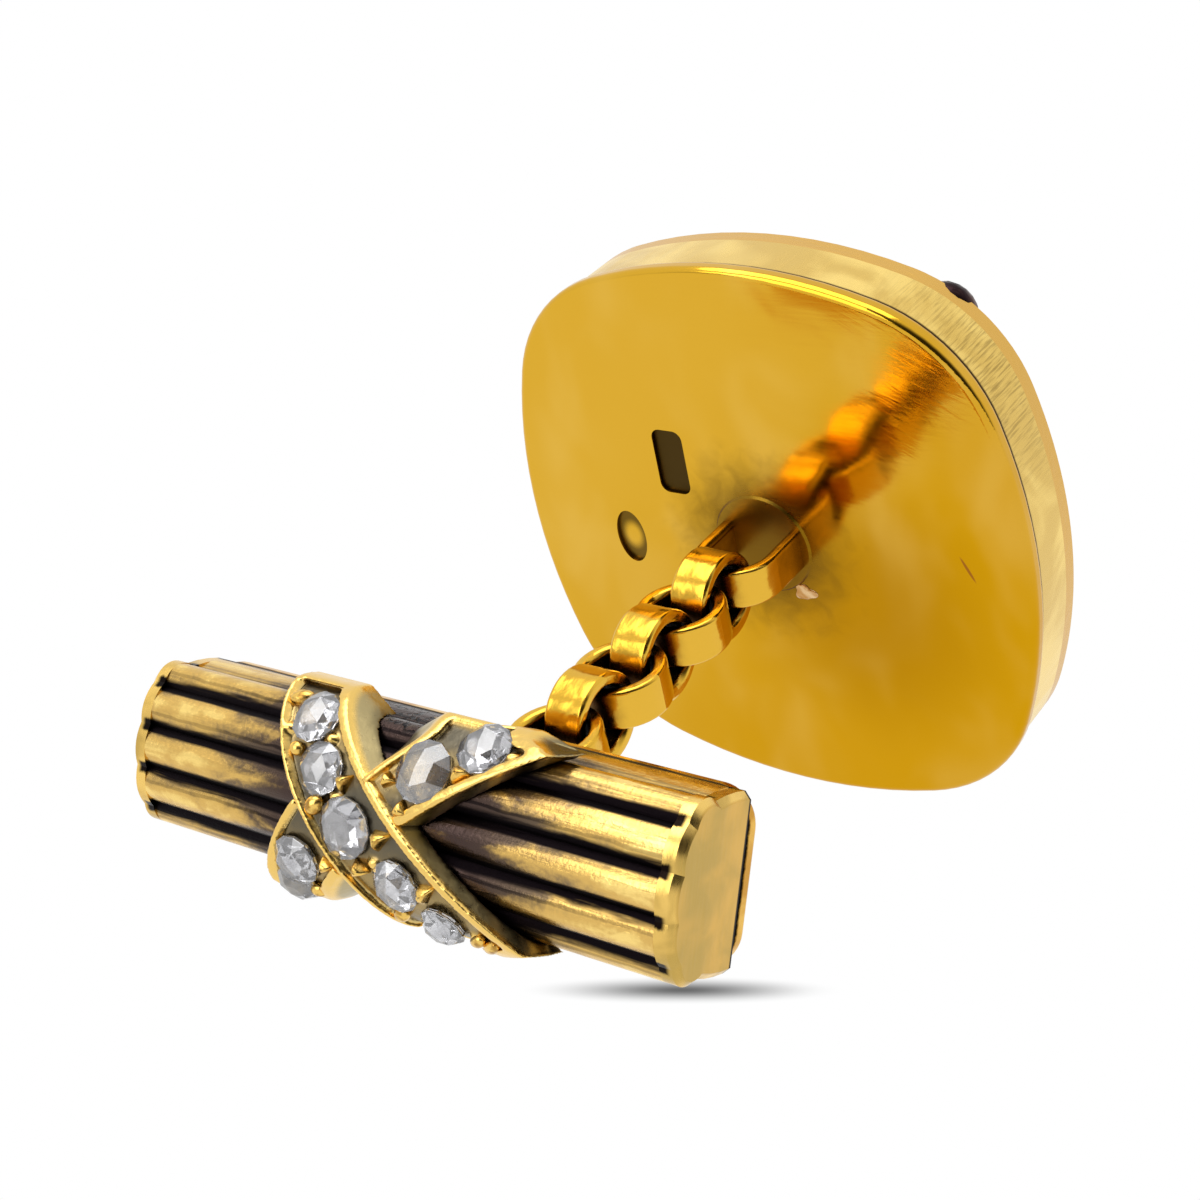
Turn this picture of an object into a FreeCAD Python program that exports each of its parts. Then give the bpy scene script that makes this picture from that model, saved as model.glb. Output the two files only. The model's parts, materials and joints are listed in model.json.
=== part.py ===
import FreeCAD, Part
import math
import os
import Sketcher

# Cufflink in millimetres. The origin is the middle of the head's back plate, on the face that bears on
# the cuff. +Z goes through the head to its decorated face, X runs along the bar, the chain hangs down -Z.

SIZES = [
    ("head_across", 17.0),
    ("head_tall", 17.3),
    ("side_bulge", 2.6),
    ("corner_round", 4.95),
    ("plate_thick", 0.6),
    ("plate_edge_round", 0.22),
    ("wall_high", 1.6),
    ("wall_thick", 0.5),
    ("wall_inset", 0.12),
    ("face_thick", 0.5),
    ("face_reed_pitch", 1.2),
    ("face_reed_deep", 0.28),
    ("face_border", 0.5),
    ("seat_radius", 1.6),
    ("seat_rise", 0.07),
    ("punch_deep", 0.12),
    ("punch_long", 2.1),
    ("punch_wide", 1.05),
    ("punch_round", 0.3),
    ("shank_rise", 1.34),
    ("link_hole_radius", 0.91),
    ("link_thick", 0.4),
    ("link_band", 1.2),
    ("link_inner_ease", 0.19),
    ("link_outer_ease", 0.12),
    ("link_gap", 0.05),
    ("bar_long", 16.7),
    ("bar_tall", 4.15),
    ("bar_deep", 3.1),
    ("bar_crown", 1.05),
    ("bar_back_thick", 0.45),
    ("bar_back_round", 0.9),
    ("bar_back_ease", 0.14),
    ("bar_shell_thick", 0.7),
    ("bar_end_thick", 0.5),
    ("bar_end_ease", 0.17),
    ("bar_end_reed_deep", 0.09),
    ("bar_reed_deep", 0.24),
    ("bar_roll", 30.0),
    ("loop_rise", 1.11),
    ("loop_band", 0.8),
    ("loop_slack", 0.12),
    ("bar_strap_high", 0.58),
    ("bar_bed_high", 0.4),
    ("bar_rim", 0.2),
    ("bar_rim_lean", 0.08),
    ("bar_strap_wrap", 0.4),
    ("strap_root_far", 3.6),
    ("strap_root_near", 1.85),
    ("strap_waist_far", 1.8),
    ("strap_waist_near", 1.2),
    ("strap_waist_rise", 0.45),
    ("strap_waist_drop", 0.1),
    ("strap_heel", 1.6),
    ("strap_tip", 4.5),
    ("strap_tip_past", 0.22),
    ("strap_heel_past", 0.6),
    ("strap_root_past", 0.1),
    ("head_strap_high", 0.95),
    ("head_bed_high", 0.45),
    ("head_rim", 0.28),
    ("head_strap_margin", 0.8),
    ("head_strap_half", 1.9),
    ("strap_gap", 0.03),
    ("bar_stone_radius", 0.56),
    ("bar_stone_high", 0.42),
    ("head_stone_radius", 0.85),
    ("head_stone_high", 0.62),
    ("grain_radius", 0.15),
]
REEDS = 7
LINKS = 7
CROWN_STEPS = 2000
STONE_SIDES = 12

doc = FreeCAD.newDocument("cufflink")
sheet = doc.addObject("Spreadsheet::Sheet", "sizes")
DERIVED = [
    ("wall_inner_inset", "=wall_inset + wall_thick"),
    ("face_inner_inset", "=wall_inset + face_border"),
]
for row, (name, number) in enumerate(SIZES + DERIVED, 1):
    sheet.set(f"A{row}", name)
    sheet.set(f"B{row}", str(number))
    sheet.setAlias(f"B{row}", name)
doc.recompute()

V = FreeCAD.Vector
X_AXIS = V(1, 0, 0)
Y_AXIS = V(0, 1, 0)
Z_AXIS = V(0, 0, 1)


def size(name):
    """The number in a named cell, in millimetres or degrees."""
    return float(sheet.get(name))


def eased_hole(offset):
    """The radius of a ring's hole at an offset from the middle of its band, eased at the band's edges."""
    ease_radius = size("link_inner_ease")
    start = size("link_band") / 2 - ease_radius
    past = max(0.0, abs(offset) - start)
    lift = ease_radius - math.sqrt(max(0.0, ease_radius**2 - past**2))
    return size("link_hole_radius") + lift


def ring_pitch(steps=40):
    """The distance between two hooked rings that leaves the named gap where they come closest."""
    least = 2 * size("link_hole_radius")
    for i in range(steps + 1):
        for j in range(steps + 1):
            x = size("link_band") / 2 * i / steps
            y = size("link_band") / 2 * j / steps
            one = eased_hole(x) ** 2 - y**2
            two = eased_hole(y) ** 2 - x**2
            if one > 0 and two > 0:
                least = min(least, math.sqrt(one) + math.sqrt(two))
    return least - size("link_gap")


link_pitch = ring_pitch()
link_outer = size("link_hole_radius") + size("link_thick")
link_mid = size("link_hole_radius") + size("link_thick") / 2
face_low = size("plate_thick") + size("wall_high")
face_top = face_low + size("face_thick")
last_link = -size("shank_rise") - LINKS * link_pitch
loop_bar = last_link - (link_pitch - link_mid - size("loop_slack"))
loop_lever = size("loop_rise") + link_mid
roll = FreeCAD.Rotation(X_AXIS, -size("bar_roll"))
bar_middle = V(0, 0, loop_bar) - roll.multVec(V(0, 0, size("bar_deep") / 2 + loop_lever))
BAR = FreeCAD.Placement(bar_middle, roll)
HOME = FreeCAD.Placement()
parts = []


def keep(item, label):
    """Names a finished sub-part and puts it on the list of files to write."""
    item.Label = label
    parts.append(item)
    return item


def new_body(name):
    return doc.addObject("PartDesign::Body", name)


def sketch_on(body, role, name, level=None):
    """A sketch on one of a body's own origin planes, lifted by an expression where a level is given."""
    sketch = body.newObject("Sketcher::SketchObject", name)
    plane = [item for item in body.Origin.OriginFeatures if item.Role == role][0]
    sketch.AttachmentSupport = [(plane, "")]
    sketch.MapMode = "FlatFace"
    if level:
        sketch.setExpression("AttachmentOffset.Base.z", level)
    return sketch


def pad(body, sketch, name, length, both_ways=False, reverse=False):
    """A pad whose length is an expression on the sheet."""
    feature = body.newObject("PartDesign::Pad", name)
    feature.Profile = sketch
    feature.Midplane = both_ways
    feature.Reversed = reverse
    feature.setExpression("Length", length)
    sketch.Visibility = False
    doc.recompute()
    return feature


def pocket(body, sketch, name, length, reverse=False):
    """A pocket of a given depth, which has to take material away."""
    before = body.Shape.Volume
    feature = body.newObject("PartDesign::Pocket", name)
    feature.Profile = sketch
    feature.Reversed = reverse
    feature.setExpression("Length", length)
    sketch.Visibility = False
    doc.recompute()
    if body.Shape.Volume >= before:
        raise RuntimeError(f"{name} cuts nothing")
    return feature


def ease(body, base, name, chosen, radius):
    """Rounds the edges of a feature that a test picks out."""
    names = [f"Edge{n}" for n, edge in enumerate(base.Shape.Edges, 1) if chosen(edge)]
    feature = body.newObject("PartDesign::Fillet", name)
    feature.Base = (base, names)
    feature.setExpression("Radius", radius)
    doc.recompute()
    return feature


def arc_through(first, middle, last):
    return Part.Arc(V(first[0], first[1], 0), V(middle[0], middle[1], 0), V(last[0], last[1], 0))


def line_between(first, last):
    return Part.LineSegment(V(first[0], first[1], 0), V(last[0], last[1], 0))


# Head outline: four long side arcs, four corner arcs, each tangent to the next.
half_x = size("head_across") / 2
half_y = size("head_tall") / 2
bulge = size("side_bulge")
side_radius = (half_y**2 + bulge**2) / (2 * bulge)
top_radius = (half_x**2 + bulge**2) / (2 * bulge)


def corner_middle():
    """The middle of the corner arc in the first quarter."""
    low = V(half_x - side_radius, 0, 0)
    high = V(0, half_y - top_radius, 0)
    near = side_radius - size("corner_round")
    far = top_radius - size("corner_round")
    along = high - low
    span = along.Length
    step = (span**2 + near**2 - far**2) / (2 * span)
    rise = math.sqrt(near**2 - step**2)
    along.normalize()
    return low + along * step + V(-along.y, along.x, 0) * rise


def add_cushion(sketch, inset, tag):
    """Adds the cushion outline, drawn in by an inset expression, tied to the named sizes.

    Args:
        sketch: the sketch that takes the eight arcs.
        inset: an expression for how far the outline lies inside the head's own.
        tag: a word that keeps this outline's constraint names apart.
    """
    first = sketch.GeometryCount
    drawn_in = size(inset) if inset else 0.0
    inset_term = f" - sizes.{inset}" if inset else ""
    corner = corner_middle()
    turn_low = math.atan2(corner.y, corner.x - half_x + side_radius)
    turn_high = math.atan2(corner.y - half_y + top_radius, corner.x)
    right = V(half_x - side_radius, 0, 0)
    top = V(0, half_y - top_radius, 0)
    pieces = []
    for quarter in range(4):
        flat = quarter % 2 == 0
        sign_a = 1 if quarter in (0, 3) else -1
        sign_b = 1 if quarter in (0, 1) else -1
        if flat:
            middle, radius = right * (1 if quarter == 0 else -1), side_radius
            half_turn = turn_low
        else:
            middle, radius = top * (1 if quarter == 1 else -1), top_radius
            half_turn = math.pi / 2 - turn_high
        facing = quarter * math.pi / 2
        pieces.append((middle, radius, facing - half_turn, facing + half_turn))
        corner_at = V(corner.x * sign_a, corner.y * sign_b, 0)
        next_half = math.pi / 2 - turn_high if flat else turn_low
        pieces.append(
            (
                corner_at,
                size("corner_round"),
                facing + half_turn,
                facing + math.pi / 2 - next_half,
            )
        )
    for middle, radius, start, end in pieces:
        circle = Part.Circle(middle, Z_AXIS, radius - drawn_in)
        sketch.addGeometry(Part.ArcOfCircle(circle, start, end), False)
    for step in range(8):
        here = first + step
        following = first + (step + 1) % 8
        sketch.addConstraint(Sketcher.Constraint("Tangent", here, 2, following, 1))
    for step in (2, 4, 6):
        sketch.addConstraint(Sketcher.Constraint("Equal", first + 1, first + 1 + step))
    for step in (0, 2):
        sketch.addConstraint(Sketcher.Constraint("Equal", first + step, first + step + 4))
    for step in (0, 4):
        sketch.addConstraint(Sketcher.Constraint("PointOnObject", first + step, 3, -1))
        sketch.addConstraint(Sketcher.Constraint("PointOnObject", first + step + 2, 3, -2))
    half_side = "(sizes.head_tall ^ 2 / 4 + sizes.side_bulge ^ 2) / (2 * sizes.side_bulge)"
    half_top = "(sizes.head_across ^ 2 / 4 + sizes.side_bulge ^ 2) / (2 * sizes.side_bulge)"
    back_x = side_radius - half_x
    back_y = top_radius - half_y
    turn_radius = size("corner_round") - drawn_in
    named = [
        ("Radius", (first + 1,), turn_radius, "corner", f"sizes.corner_round{inset_term}"),
        ("Radius", (first,), side_radius - drawn_in, "side", f"{half_side}{inset_term}"),
        ("Radius", (first + 2,), top_radius - drawn_in, "top", f"{half_top}{inset_term}"),
        ("DistanceX", (first, 3, -1, 1), back_x, "right", f"{half_side} - sizes.head_across / 2"),
        ("DistanceX", (-1, 1, first + 4, 3), back_x, "left", f"{half_side} - sizes.head_across / 2"),
        ("DistanceY", (first + 2, 3, -1, 1), back_y, "upper", f"{half_top} - sizes.head_tall / 2"),
        ("DistanceY", (-1, 1, first + 6, 3), back_y, "lower", f"{half_top} - sizes.head_tall / 2"),
    ]
    for kind, refs, number, word, expression in named:
        index = sketch.addConstraint(Sketcher.Constraint(kind, *refs, number))
        sketch.renameConstraint(index, f"{tag}_{word}")
        sketch.setExpression(f"Constraints.{tag}_{word}", expression)


def outer_edges(level):
    """A test for the edges that lie at one height and belong to the long outline."""

    def chosen(edge):
        flat = abs(edge.BoundBox.ZMin - level) < 1e-6 and abs(edge.BoundBox.ZMax - level) < 1e-6
        far = edge.CenterOfMass
        return flat and math.hypot(far.x, far.y) > size("head_across") * 0.4

    return chosen


# Back plate, bored for the shank's seat, with two blank punch marks.
back_plate = new_body("back_plate")
outline = sketch_on(back_plate, "XY_Plane", "back_plate_outline")
add_cushion(outline, None, "plate")
blank = pad(back_plate, outline, "back_plate_pad", "sizes.plate_thick")
rounded = ease(
    back_plate,
    blank,
    "back_plate_round",
    lambda edge: outer_edges(0.0)(edge) or outer_edges(size("plate_thick"))(edge),
    "min(sizes.plate_edge_round; sizes.plate_thick * 0.45)",
)
bore = sketch_on(back_plate, "XY_Plane", "back_plate_bore")
bore.addGeometry(Part.Circle(V(0, 0, 0), Z_AXIS, size("seat_radius")), False)
bore.addConstraint(Sketcher.Constraint("Coincident", 0, 3, -1, 1))
bore.addConstraint(Sketcher.Constraint("Radius", 0, size("seat_radius")))
bore.renameConstraint(1, "seat")
bore.setExpression("Constraints.seat", "sizes.seat_radius")
pocket(back_plate, bore, "back_plate_hole", "sizes.plate_thick", reverse=True)
marks = sketch_on(back_plate, "XY_Plane", "back_plate_marks")
long_half = size("punch_long") / 2
wide_half = size("punch_wide") / 2
soft = size("punch_round")
square_at = (-2.77, -2.32)
oval_at = (-4.81, 0.56)
for angle in range(4):
    way = math.radians(90 * angle)
    swap = angle % 2 == 1
    reach = long_half if swap else wide_half
    side = (wide_half if swap else long_half) - soft
    turn = FreeCAD.Rotation(Z_AXIS, math.degrees(way))
    shift = V(square_at[0], square_at[1], 0)
    low = shift + turn.multVec(V(reach, -side, 0))
    high = shift + turn.multVec(V(reach, side, 0))
    marks.addGeometry(Part.LineSegment(low, high), False)
    middle = shift + turn.multVec(V(reach - soft, side, 0))
    marks.addGeometry(Part.ArcOfCircle(Part.Circle(middle, Z_AXIS, soft), way, way + math.pi / 2), False)
oval_centre = V(oval_at[0], oval_at[1], 0)
oval = Part.Ellipse(oval_centre + V(0, long_half * 0.85, 0), oval_centre + V(wide_half, 0, 0), oval_centre)
marks.addGeometry(oval, False)
pocket(back_plate, marks, "back_plate_punches", "sizes.punch_deep", reverse=True)
keep(back_plate, "head_back_plate")

# Solder seat: a plug in the plate's bore with a low crown on the chain's side.
seat = new_body("seat")
seat_round = sketch_on(seat, "XY_Plane", "seat_round")
seat_round.addGeometry(Part.Circle(V(0, 0, 0), Z_AXIS, size("seat_radius")), False)
seat_round.addConstraint(Sketcher.Constraint("Coincident", 0, 3, -1, 1))
seat_round.addConstraint(Sketcher.Constraint("Radius", 0, size("seat_radius")))
seat_round.renameConstraint(1, "seat")
seat_round.setExpression("Constraints.seat", "sizes.seat_radius")
pad(seat, seat_round, "seat_plug", "sizes.plate_thick")
crown = sketch_on(seat, "XY_Plane", "seat_crown")
crown.addGeometry(Part.Circle(V(0, 0, 0), Z_AXIS, size("seat_radius")), False)
crown.addConstraint(Sketcher.Constraint("Coincident", 0, 3, -1, 1))
crown.addConstraint(Sketcher.Constraint("Radius", 0, size("seat_radius")))
crown.renameConstraint(1, "crown")
crown.setExpression("Constraints.crown", "sizes.seat_radius")
crown_pad = pad(seat, crown, "seat_crown_pad", "sizes.seat_rise", reverse=True)
crown_pad.TaperAngle = -40
doc.recompute()
keep(seat, "shank_seat")


def add_half_ring(sketch, drop, foot):
    """A half ring with straight legs: drop is the ring's middle, foot where its legs end."""
    inner = size("link_hole_radius")
    way = 1 if foot > drop else -1
    sketch.addGeometry(line_between((link_outer, foot), (link_outer, drop)), False)
    sketch.addGeometry(
        arc_through((link_outer, drop), (0, drop - way * link_outer), (-link_outer, drop)), False
    )
    sketch.addGeometry(line_between((-link_outer, drop), (-link_outer, foot)), False)
    sketch.addGeometry(line_between((-link_outer, foot), (-inner, foot)), False)
    sketch.addGeometry(line_between((-inner, foot), (-inner, drop)), False)
    sketch.addGeometry(arc_through((-inner, drop), (0, drop - way * inner), (inner, drop)), False)
    sketch.addGeometry(line_between((inner, drop), (inner, foot)), False)
    sketch.addGeometry(line_between((inner, foot), (link_outer, foot)), False)


def along_ring(radius, tolerance=1e-4):
    """A test for the long edges of a ring at one radius, straight legs among them."""

    def chosen(edge):
        curve = edge.Curve
        if isinstance(curve, Part.Circle):
            return abs(curve.Radius - radius) < tolerance
        return False

    return chosen


INNER_EASE = "min(sizes.link_inner_ease; sizes.link_thick * 0.48; sizes.link_band * 0.46)"
OUTER_EASE = "min(sizes.link_outer_ease; sizes.link_thick * 0.3; sizes.link_band * 0.3)"

# Shank: a fixed half ring along the bar's direction.
shank = new_body("shank")
shank_line = sketch_on(shank, "XZ_Plane", "shank_line")
add_half_ring(shank_line, -size("shank_rise"), -size("seat_rise"))
shank_pad = pad(shank, shank_line, "shank_pad", "sizes.link_band", both_ways=True)
shank_in = ease(shank, shank_pad, "shank_inner", along_ring(size("link_hole_radius")), INNER_EASE)
ease(shank, shank_in, "shank_outer", along_ring(link_outer), OUTER_EASE)
keep(shank, "head_shank")

# Side wall between the two plates.
wall = new_body("wall")
band = sketch_on(wall, "XY_Plane", "wall_band", "sizes.plate_thick")
add_cushion(band, "wall_inset", "outer")
add_cushion(band, "wall_inner_inset", "inner")
pad(wall, band, "wall_pad", "sizes.wall_high")
keep(wall, "head_side_wall")

# Reeded face plate: round-topped reeds along X inside a plain border.
face = new_body("face")
face_line = sketch_on(face, "XY_Plane", "face_line", "sizes.plate_thick + sizes.wall_high")
add_cushion(face_line, "wall_inset", "face")
pad(face, face_line, "face_pad", "sizes.face_thick")
grooves = sketch_on(face, "YZ_Plane", "face_grooves")
reed = size("face_reed_pitch")
groove_half = reed * 0.45
groove_deep = size("face_reed_deep")
edge_clear = half_y - size("face_inner_inset")
each_side = int(edge_clear / reed)
for index in range(-each_side, each_side + 1):
    at = index * reed
    low = (at, face_top - groove_deep)
    left = (at - groove_half, face_top)
    right = (at + groove_half, face_top)
    high_left = (at - groove_half, face_top + groove_deep)
    high_right = (at + groove_half, face_top + groove_deep)
    lean = groove_half * 0.42
    brow = face_top - groove_deep * 0.32
    grooves.addGeometry(line_between(high_left, left), False)
    grooves.addGeometry(arc_through(left, (at - lean, brow), low), False)
    grooves.addGeometry(arc_through(low, (at + lean, brow), right), False)
    grooves.addGeometry(line_between(right, high_right), False)
    grooves.addGeometry(line_between(high_right, high_left), False)
groove_cut = face.newObject("PartDesign::Pocket", "face_groove_cut")
groove_cut.Profile = grooves
groove_cut.Type = "ThroughAll"
groove_cut.Midplane = True
grooves.Visibility = False
border = sketch_on(face, "XY_Plane", "face_border_line", "sizes.plate_thick + sizes.wall_high")
add_cushion(border, "wall_inset", "border_outer")
add_cushion(border, "face_inner_inset", "border_inner")
pad(face, border, "face_border_pad", "sizes.face_thick")
keep(face, "head_face_plate")


# Chain: round rings, each turned a quarter from the one before.
for number in range(1, LINKS + 1):
    ring = new_body(f"ring_{number}")
    plane = "YZ_Plane" if number % 2 else "XZ_Plane"
    ring_line = sketch_on(ring, plane, f"ring_line_{number}")
    for index, (reach, word) in enumerate(((size("link_hole_radius"), "hole"), (link_outer, "rim"))):
        ring_line.addGeometry(Part.Circle(V(0, 0, 0), Z_AXIS, reach), False)
        ring_line.addConstraint(Sketcher.Constraint("Coincident", index, 3, -1, 1))
        named = ring_line.addConstraint(Sketcher.Constraint("Radius", index, reach))
        ring_line.renameConstraint(named, word)
    ring_line.setExpression("Constraints.hole", "sizes.link_hole_radius")
    ring_line.setExpression("Constraints.rim", "sizes.link_hole_radius + sizes.link_thick")
    ring_pad = pad(ring, ring_line, f"ring_pad_{number}", "sizes.link_band", both_ways=True)
    ring_in = ease(ring, ring_pad, f"ring_in_{number}", along_ring(size("link_hole_radius")), INNER_EASE)
    ease(ring, ring_in, f"ring_out_{number}", along_ring(link_outer), OUTER_EASE)
    ring.Placement.Base = V(0, 0, -size("shank_rise") - number * link_pitch)
    keep(ring, f"chain_link_{number}")

# Bar, drawn about its own middle: X along it, its crown at -Z, its back plate at +Z.
bar_half_long = size("bar_long") / 2
bar_half_tall = size("bar_tall") / 2
bar_half_deep = size("bar_deep") / 2
back_low = bar_half_deep - size("bar_back_thick")
crown_z = -bar_half_deep + size("bar_crown")


def crown_run():
    """Angles over the crown, each with the length of the outline from the crown's start up to it."""
    run = 0.0
    steps = [(-math.pi / 2, 0.0)]
    for index in range(1, CROWN_STEPS + 1):
        turn = math.pi * (index / CROWN_STEPS - 0.5)
        middle = turn - math.pi / CROWN_STEPS / 2
        pace = math.hypot(bar_half_tall * math.cos(middle), size("bar_crown") * math.sin(middle))
        run += pace * math.pi / CROWN_STEPS
        steps.append((turn, run))
    return steps


crown_table = crown_run()


def bar_point(path, inset):
    """A point on the bar's section, drawn in by an inset.

    Args:
        path: place along the section, from the back's far edge over the crown to its near edge, 0 to 1.
        inset: how far inside the outline the point lies.
    """
    side = back_low - crown_z
    whole = 2 * side + crown_table[-1][1]
    run = path * whole
    if run < side:
        return (-bar_half_tall + inset, back_low - run)
    if run > whole - side:
        return (bar_half_tall - inset, back_low - (whole - run))
    turn = min(crown_table, key=lambda step: abs(step[1] - (run - side)))[0]
    tall = bar_half_tall - inset
    deep = size("bar_crown") - inset
    return (tall * math.sin(turn), crown_z - deep * math.cos(turn))


def add_reeded_outline(sketch, deep, inset=0.0):
    """The section's outline: a row of round reeds closed by the flat back.

    Args:
        sketch: the sketch that takes it.
        deep: how deep the grooves between the reeds are.
        inset: how far the outline is drawn in.
    """
    cusps = []
    for index in range(REEDS + 1):
        groove = deep if 0 < index < REEDS else 0.0
        cusps.append(bar_point(index / REEDS, groove + inset))
    for index in range(REEDS):
        crest = bar_point((index + 0.5) / REEDS, inset)
        sketch.addGeometry(arc_through(cusps[index], crest, cusps[index + 1]), False)
    sketch.addGeometry(line_between(cusps[-1], cusps[0]), False)


def add_smooth_outline(sketch, outset, back):
    """A smooth section: a half ellipse over two straight sides, closed at the given back level."""
    tall = bar_half_tall + outset
    deep = size("bar_crown") + outset
    major = max(tall, deep)
    minor = min(tall, deep)
    centre = V(0, crown_z, 0)
    ellipse = Part.Ellipse(centre, major, minor)
    sketch.addGeometry(Part.ArcOfEllipse(ellipse, math.pi, 2 * math.pi), False)
    sketch.addGeometry(line_between((tall, crown_z), (tall, back)), False)
    sketch.addGeometry(line_between((tall, back), (-tall, back)), False)
    sketch.addGeometry(line_between((-tall, back), (-tall, crown_z)), False)


shell = new_body("shell")
shell_line = sketch_on(shell, "YZ_Plane", "shell_line")
add_reeded_outline(shell_line, size("bar_reed_deep"))
pad(shell, shell_line, "shell_pad", "sizes.bar_long - 2 * sizes.bar_end_thick", both_ways=True)
hollow = sketch_on(shell, "YZ_Plane", "shell_hollow")
add_smooth_outline(hollow, -size("bar_shell_thick"), back_low)
hollow_cut = shell.newObject("PartDesign::Pocket", "shell_hollow_cut")
hollow_cut.Profile = hollow
hollow_cut.Type = "ThroughAll"
hollow_cut.Midplane = True
hollow.Visibility = False
doc.recompute()
shell.Placement = BAR
keep(shell, "bar_shell")

for word, way in (("left", -1), ("right", 1)):
    end = new_body(f"end_{word}")
    end_line = sketch_on(end, "YZ_Plane", f"end_line_{word}")
    add_reeded_outline(end_line, size("bar_end_reed_deep"))
    end_line.setExpression("AttachmentOffset.Base.z", f"{way} * (sizes.bar_long / 2 - sizes.bar_end_ease)")
    pad(end, end_line, f"end_pad_{word}", "sizes.bar_end_thick - sizes.bar_end_ease", reverse=way > 0)
    end_brow = sketch_on(end, "YZ_Plane", f"end_brow_{word}")
    add_reeded_outline(end_brow, size("bar_end_reed_deep"), size("bar_end_ease"))
    end_brow.setExpression("AttachmentOffset.Base.z", f"{way} * sizes.bar_long / 2")
    bevel = end.newObject("PartDesign::AdditiveLoft", f"end_bevel_{word}")
    bevel.Profile = end_line
    bevel.Sections = [end_brow]
    bevel.Ruled = True
    end_brow.Visibility = False
    doc.recompute()
    end.Placement = BAR
    keep(end, f"bar_end_{word}")

back = new_body("back")
back_line = sketch_on(back, "XY_Plane", "back_line", "sizes.bar_deep / 2 - sizes.bar_back_thick")
soft = size("bar_back_round")
for angle in range(4):
    swap = angle % 2 == 1
    reach = bar_half_tall if swap else bar_half_long
    side = (bar_half_long if swap else bar_half_tall) - soft
    way = math.radians(90 * angle)
    turn = FreeCAD.Rotation(Z_AXIS, 90 * angle)
    low = turn.multVec(V(reach, -side, 0))
    high = turn.multVec(V(reach, side, 0))
    back_line.addGeometry(Part.LineSegment(low, high), False)
    middle = turn.multVec(V(reach - soft, side, 0))
    back_line.addGeometry(Part.ArcOfCircle(Part.Circle(middle, Z_AXIS, soft), way, way + math.pi / 2), False)
back_pad = pad(back, back_line, "back_pad", "sizes.bar_back_thick")
ease(
    back,
    back_pad,
    "back_ease",
    lambda edge: edge.BoundBox.ZLength < 1e-6,
    "min(sizes.bar_back_ease; sizes.bar_back_thick * 0.4)",
)
back.Placement = BAR
keep(back, "bar_back_plate")

loop = new_body("loop")
loop_line = sketch_on(loop, "XZ_Plane", "loop_line")
add_half_ring(loop_line, bar_half_deep + size("loop_rise"), bar_half_deep)
loop_pad = pad(loop, loop_line, "loop_pad", "sizes.loop_band", both_ways=True)
loop_in = ease(loop, loop_pad, "loop_inner", along_ring(size("link_hole_radius")), INNER_EASE)
ease(loop, loop_in, "loop_outer", along_ring(link_outer), OUTER_EASE)
loop.Placement = BAR
keep(loop, "bar_loop")


# Ribbons: flat outlines of arcs, pushed through a layer that follows the face or the crown.
def extrude(source, name, depth, low):
    """A prism from a sketch on the ground plane, from a low level up by a depth."""
    prism = doc.addObject("Part::Extrusion", name)
    prism.Base = source
    prism.DirMode = "Custom"
    prism.Dir = Z_AXIS
    prism.LengthFwd = depth
    prism.Solid = True
    prism.Placement.Base = V(0, 0, low)
    return prism


def strap_sketch(name, points):
    """A strap's outline from its root's two corners, its two waist points, its heel and its tip."""
    root_far, waist_far, heel, tip, waist_near, root_near = points
    sketch = doc.addObject("Sketcher::SketchObject", name)
    sketch.addGeometry(arc_through(root_far, waist_far, heel), False)
    sketch.addGeometry(line_between(heel, tip), False)
    sketch.addGeometry(arc_through(tip, waist_near, root_near), False)
    sketch.addGeometry(line_between(root_near, root_far), False)
    sketch.Visibility = False
    return sketch


def drawn_in(source, name, amount, low, depth, lean=0.0):
    """A prism from an outline drawn in by an amount.

    Args:
        source: the outline.
        name: the prism's name.
        amount: how far it is drawn in.
        low: the prism's lowest level.
        depth: how tall the prism is.
        lean: how far it is moved along -X, so that one rim is wider than the other.
    """
    offset = doc.addObject("Part::Offset2D", f"{name}_line")
    offset.Source = source
    offset.Value = -amount
    offset.Join = 2
    offset.Fill = False
    offset.Visibility = False
    prism = extrude(offset, name, depth, low)
    prism.Placement.Base.x = -lean
    return prism


def boolean(kind, name, base, tool):
    item = doc.addObject(kind, name)
    item.Base = base
    item.Tool = tool
    return item


def fuse_grains(name, base, places, lift):
    """Fuses small round grains to a strap.

    Args:
        places: the grains' middles.
        lift: a word that keeps the grains' names apart.
    """
    grains = []
    for index, place in enumerate(places, 1):
        grain = doc.addObject("Part::Sphere", f"{lift}_grain_{index}")
        grain.setExpression("Radius", "sizes.grain_radius")
        grain.Placement.Base = place
        grains.append(grain)
    joined = doc.addObject("Part::MultiFuse", name)
    joined.Shapes = [base] + grains
    return joined


def stone(name, radius, high, place):
    """A rose-cut stone: a round girdle of flats that steps up to a low point."""
    girdle = doc.addObject("Part::RegularPolygon", f"{name}_girdle")
    girdle.Polygon = STONE_SIDES
    girdle.Circumradius = radius
    shoulder = doc.addObject("Part::RegularPolygon", f"{name}_shoulder")
    shoulder.Polygon = STONE_SIDES
    shoulder.Circumradius = radius * 0.74
    shoulder.Placement.Base = V(0, 0, high * 0.58)
    point = doc.addObject("Part::Vertex", f"{name}_point")
    point.Z = high
    loft = doc.addObject("Part::Loft", name)
    loft.Sections = [girdle, shoulder, point]
    loft.Solid = True
    loft.Ruled = True
    loft.Placement = place
    for item in loft.Sections:
        item.Visibility = False
    return loft


def mirrored(points):
    return [(x, -y) for x, y in points]


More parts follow.
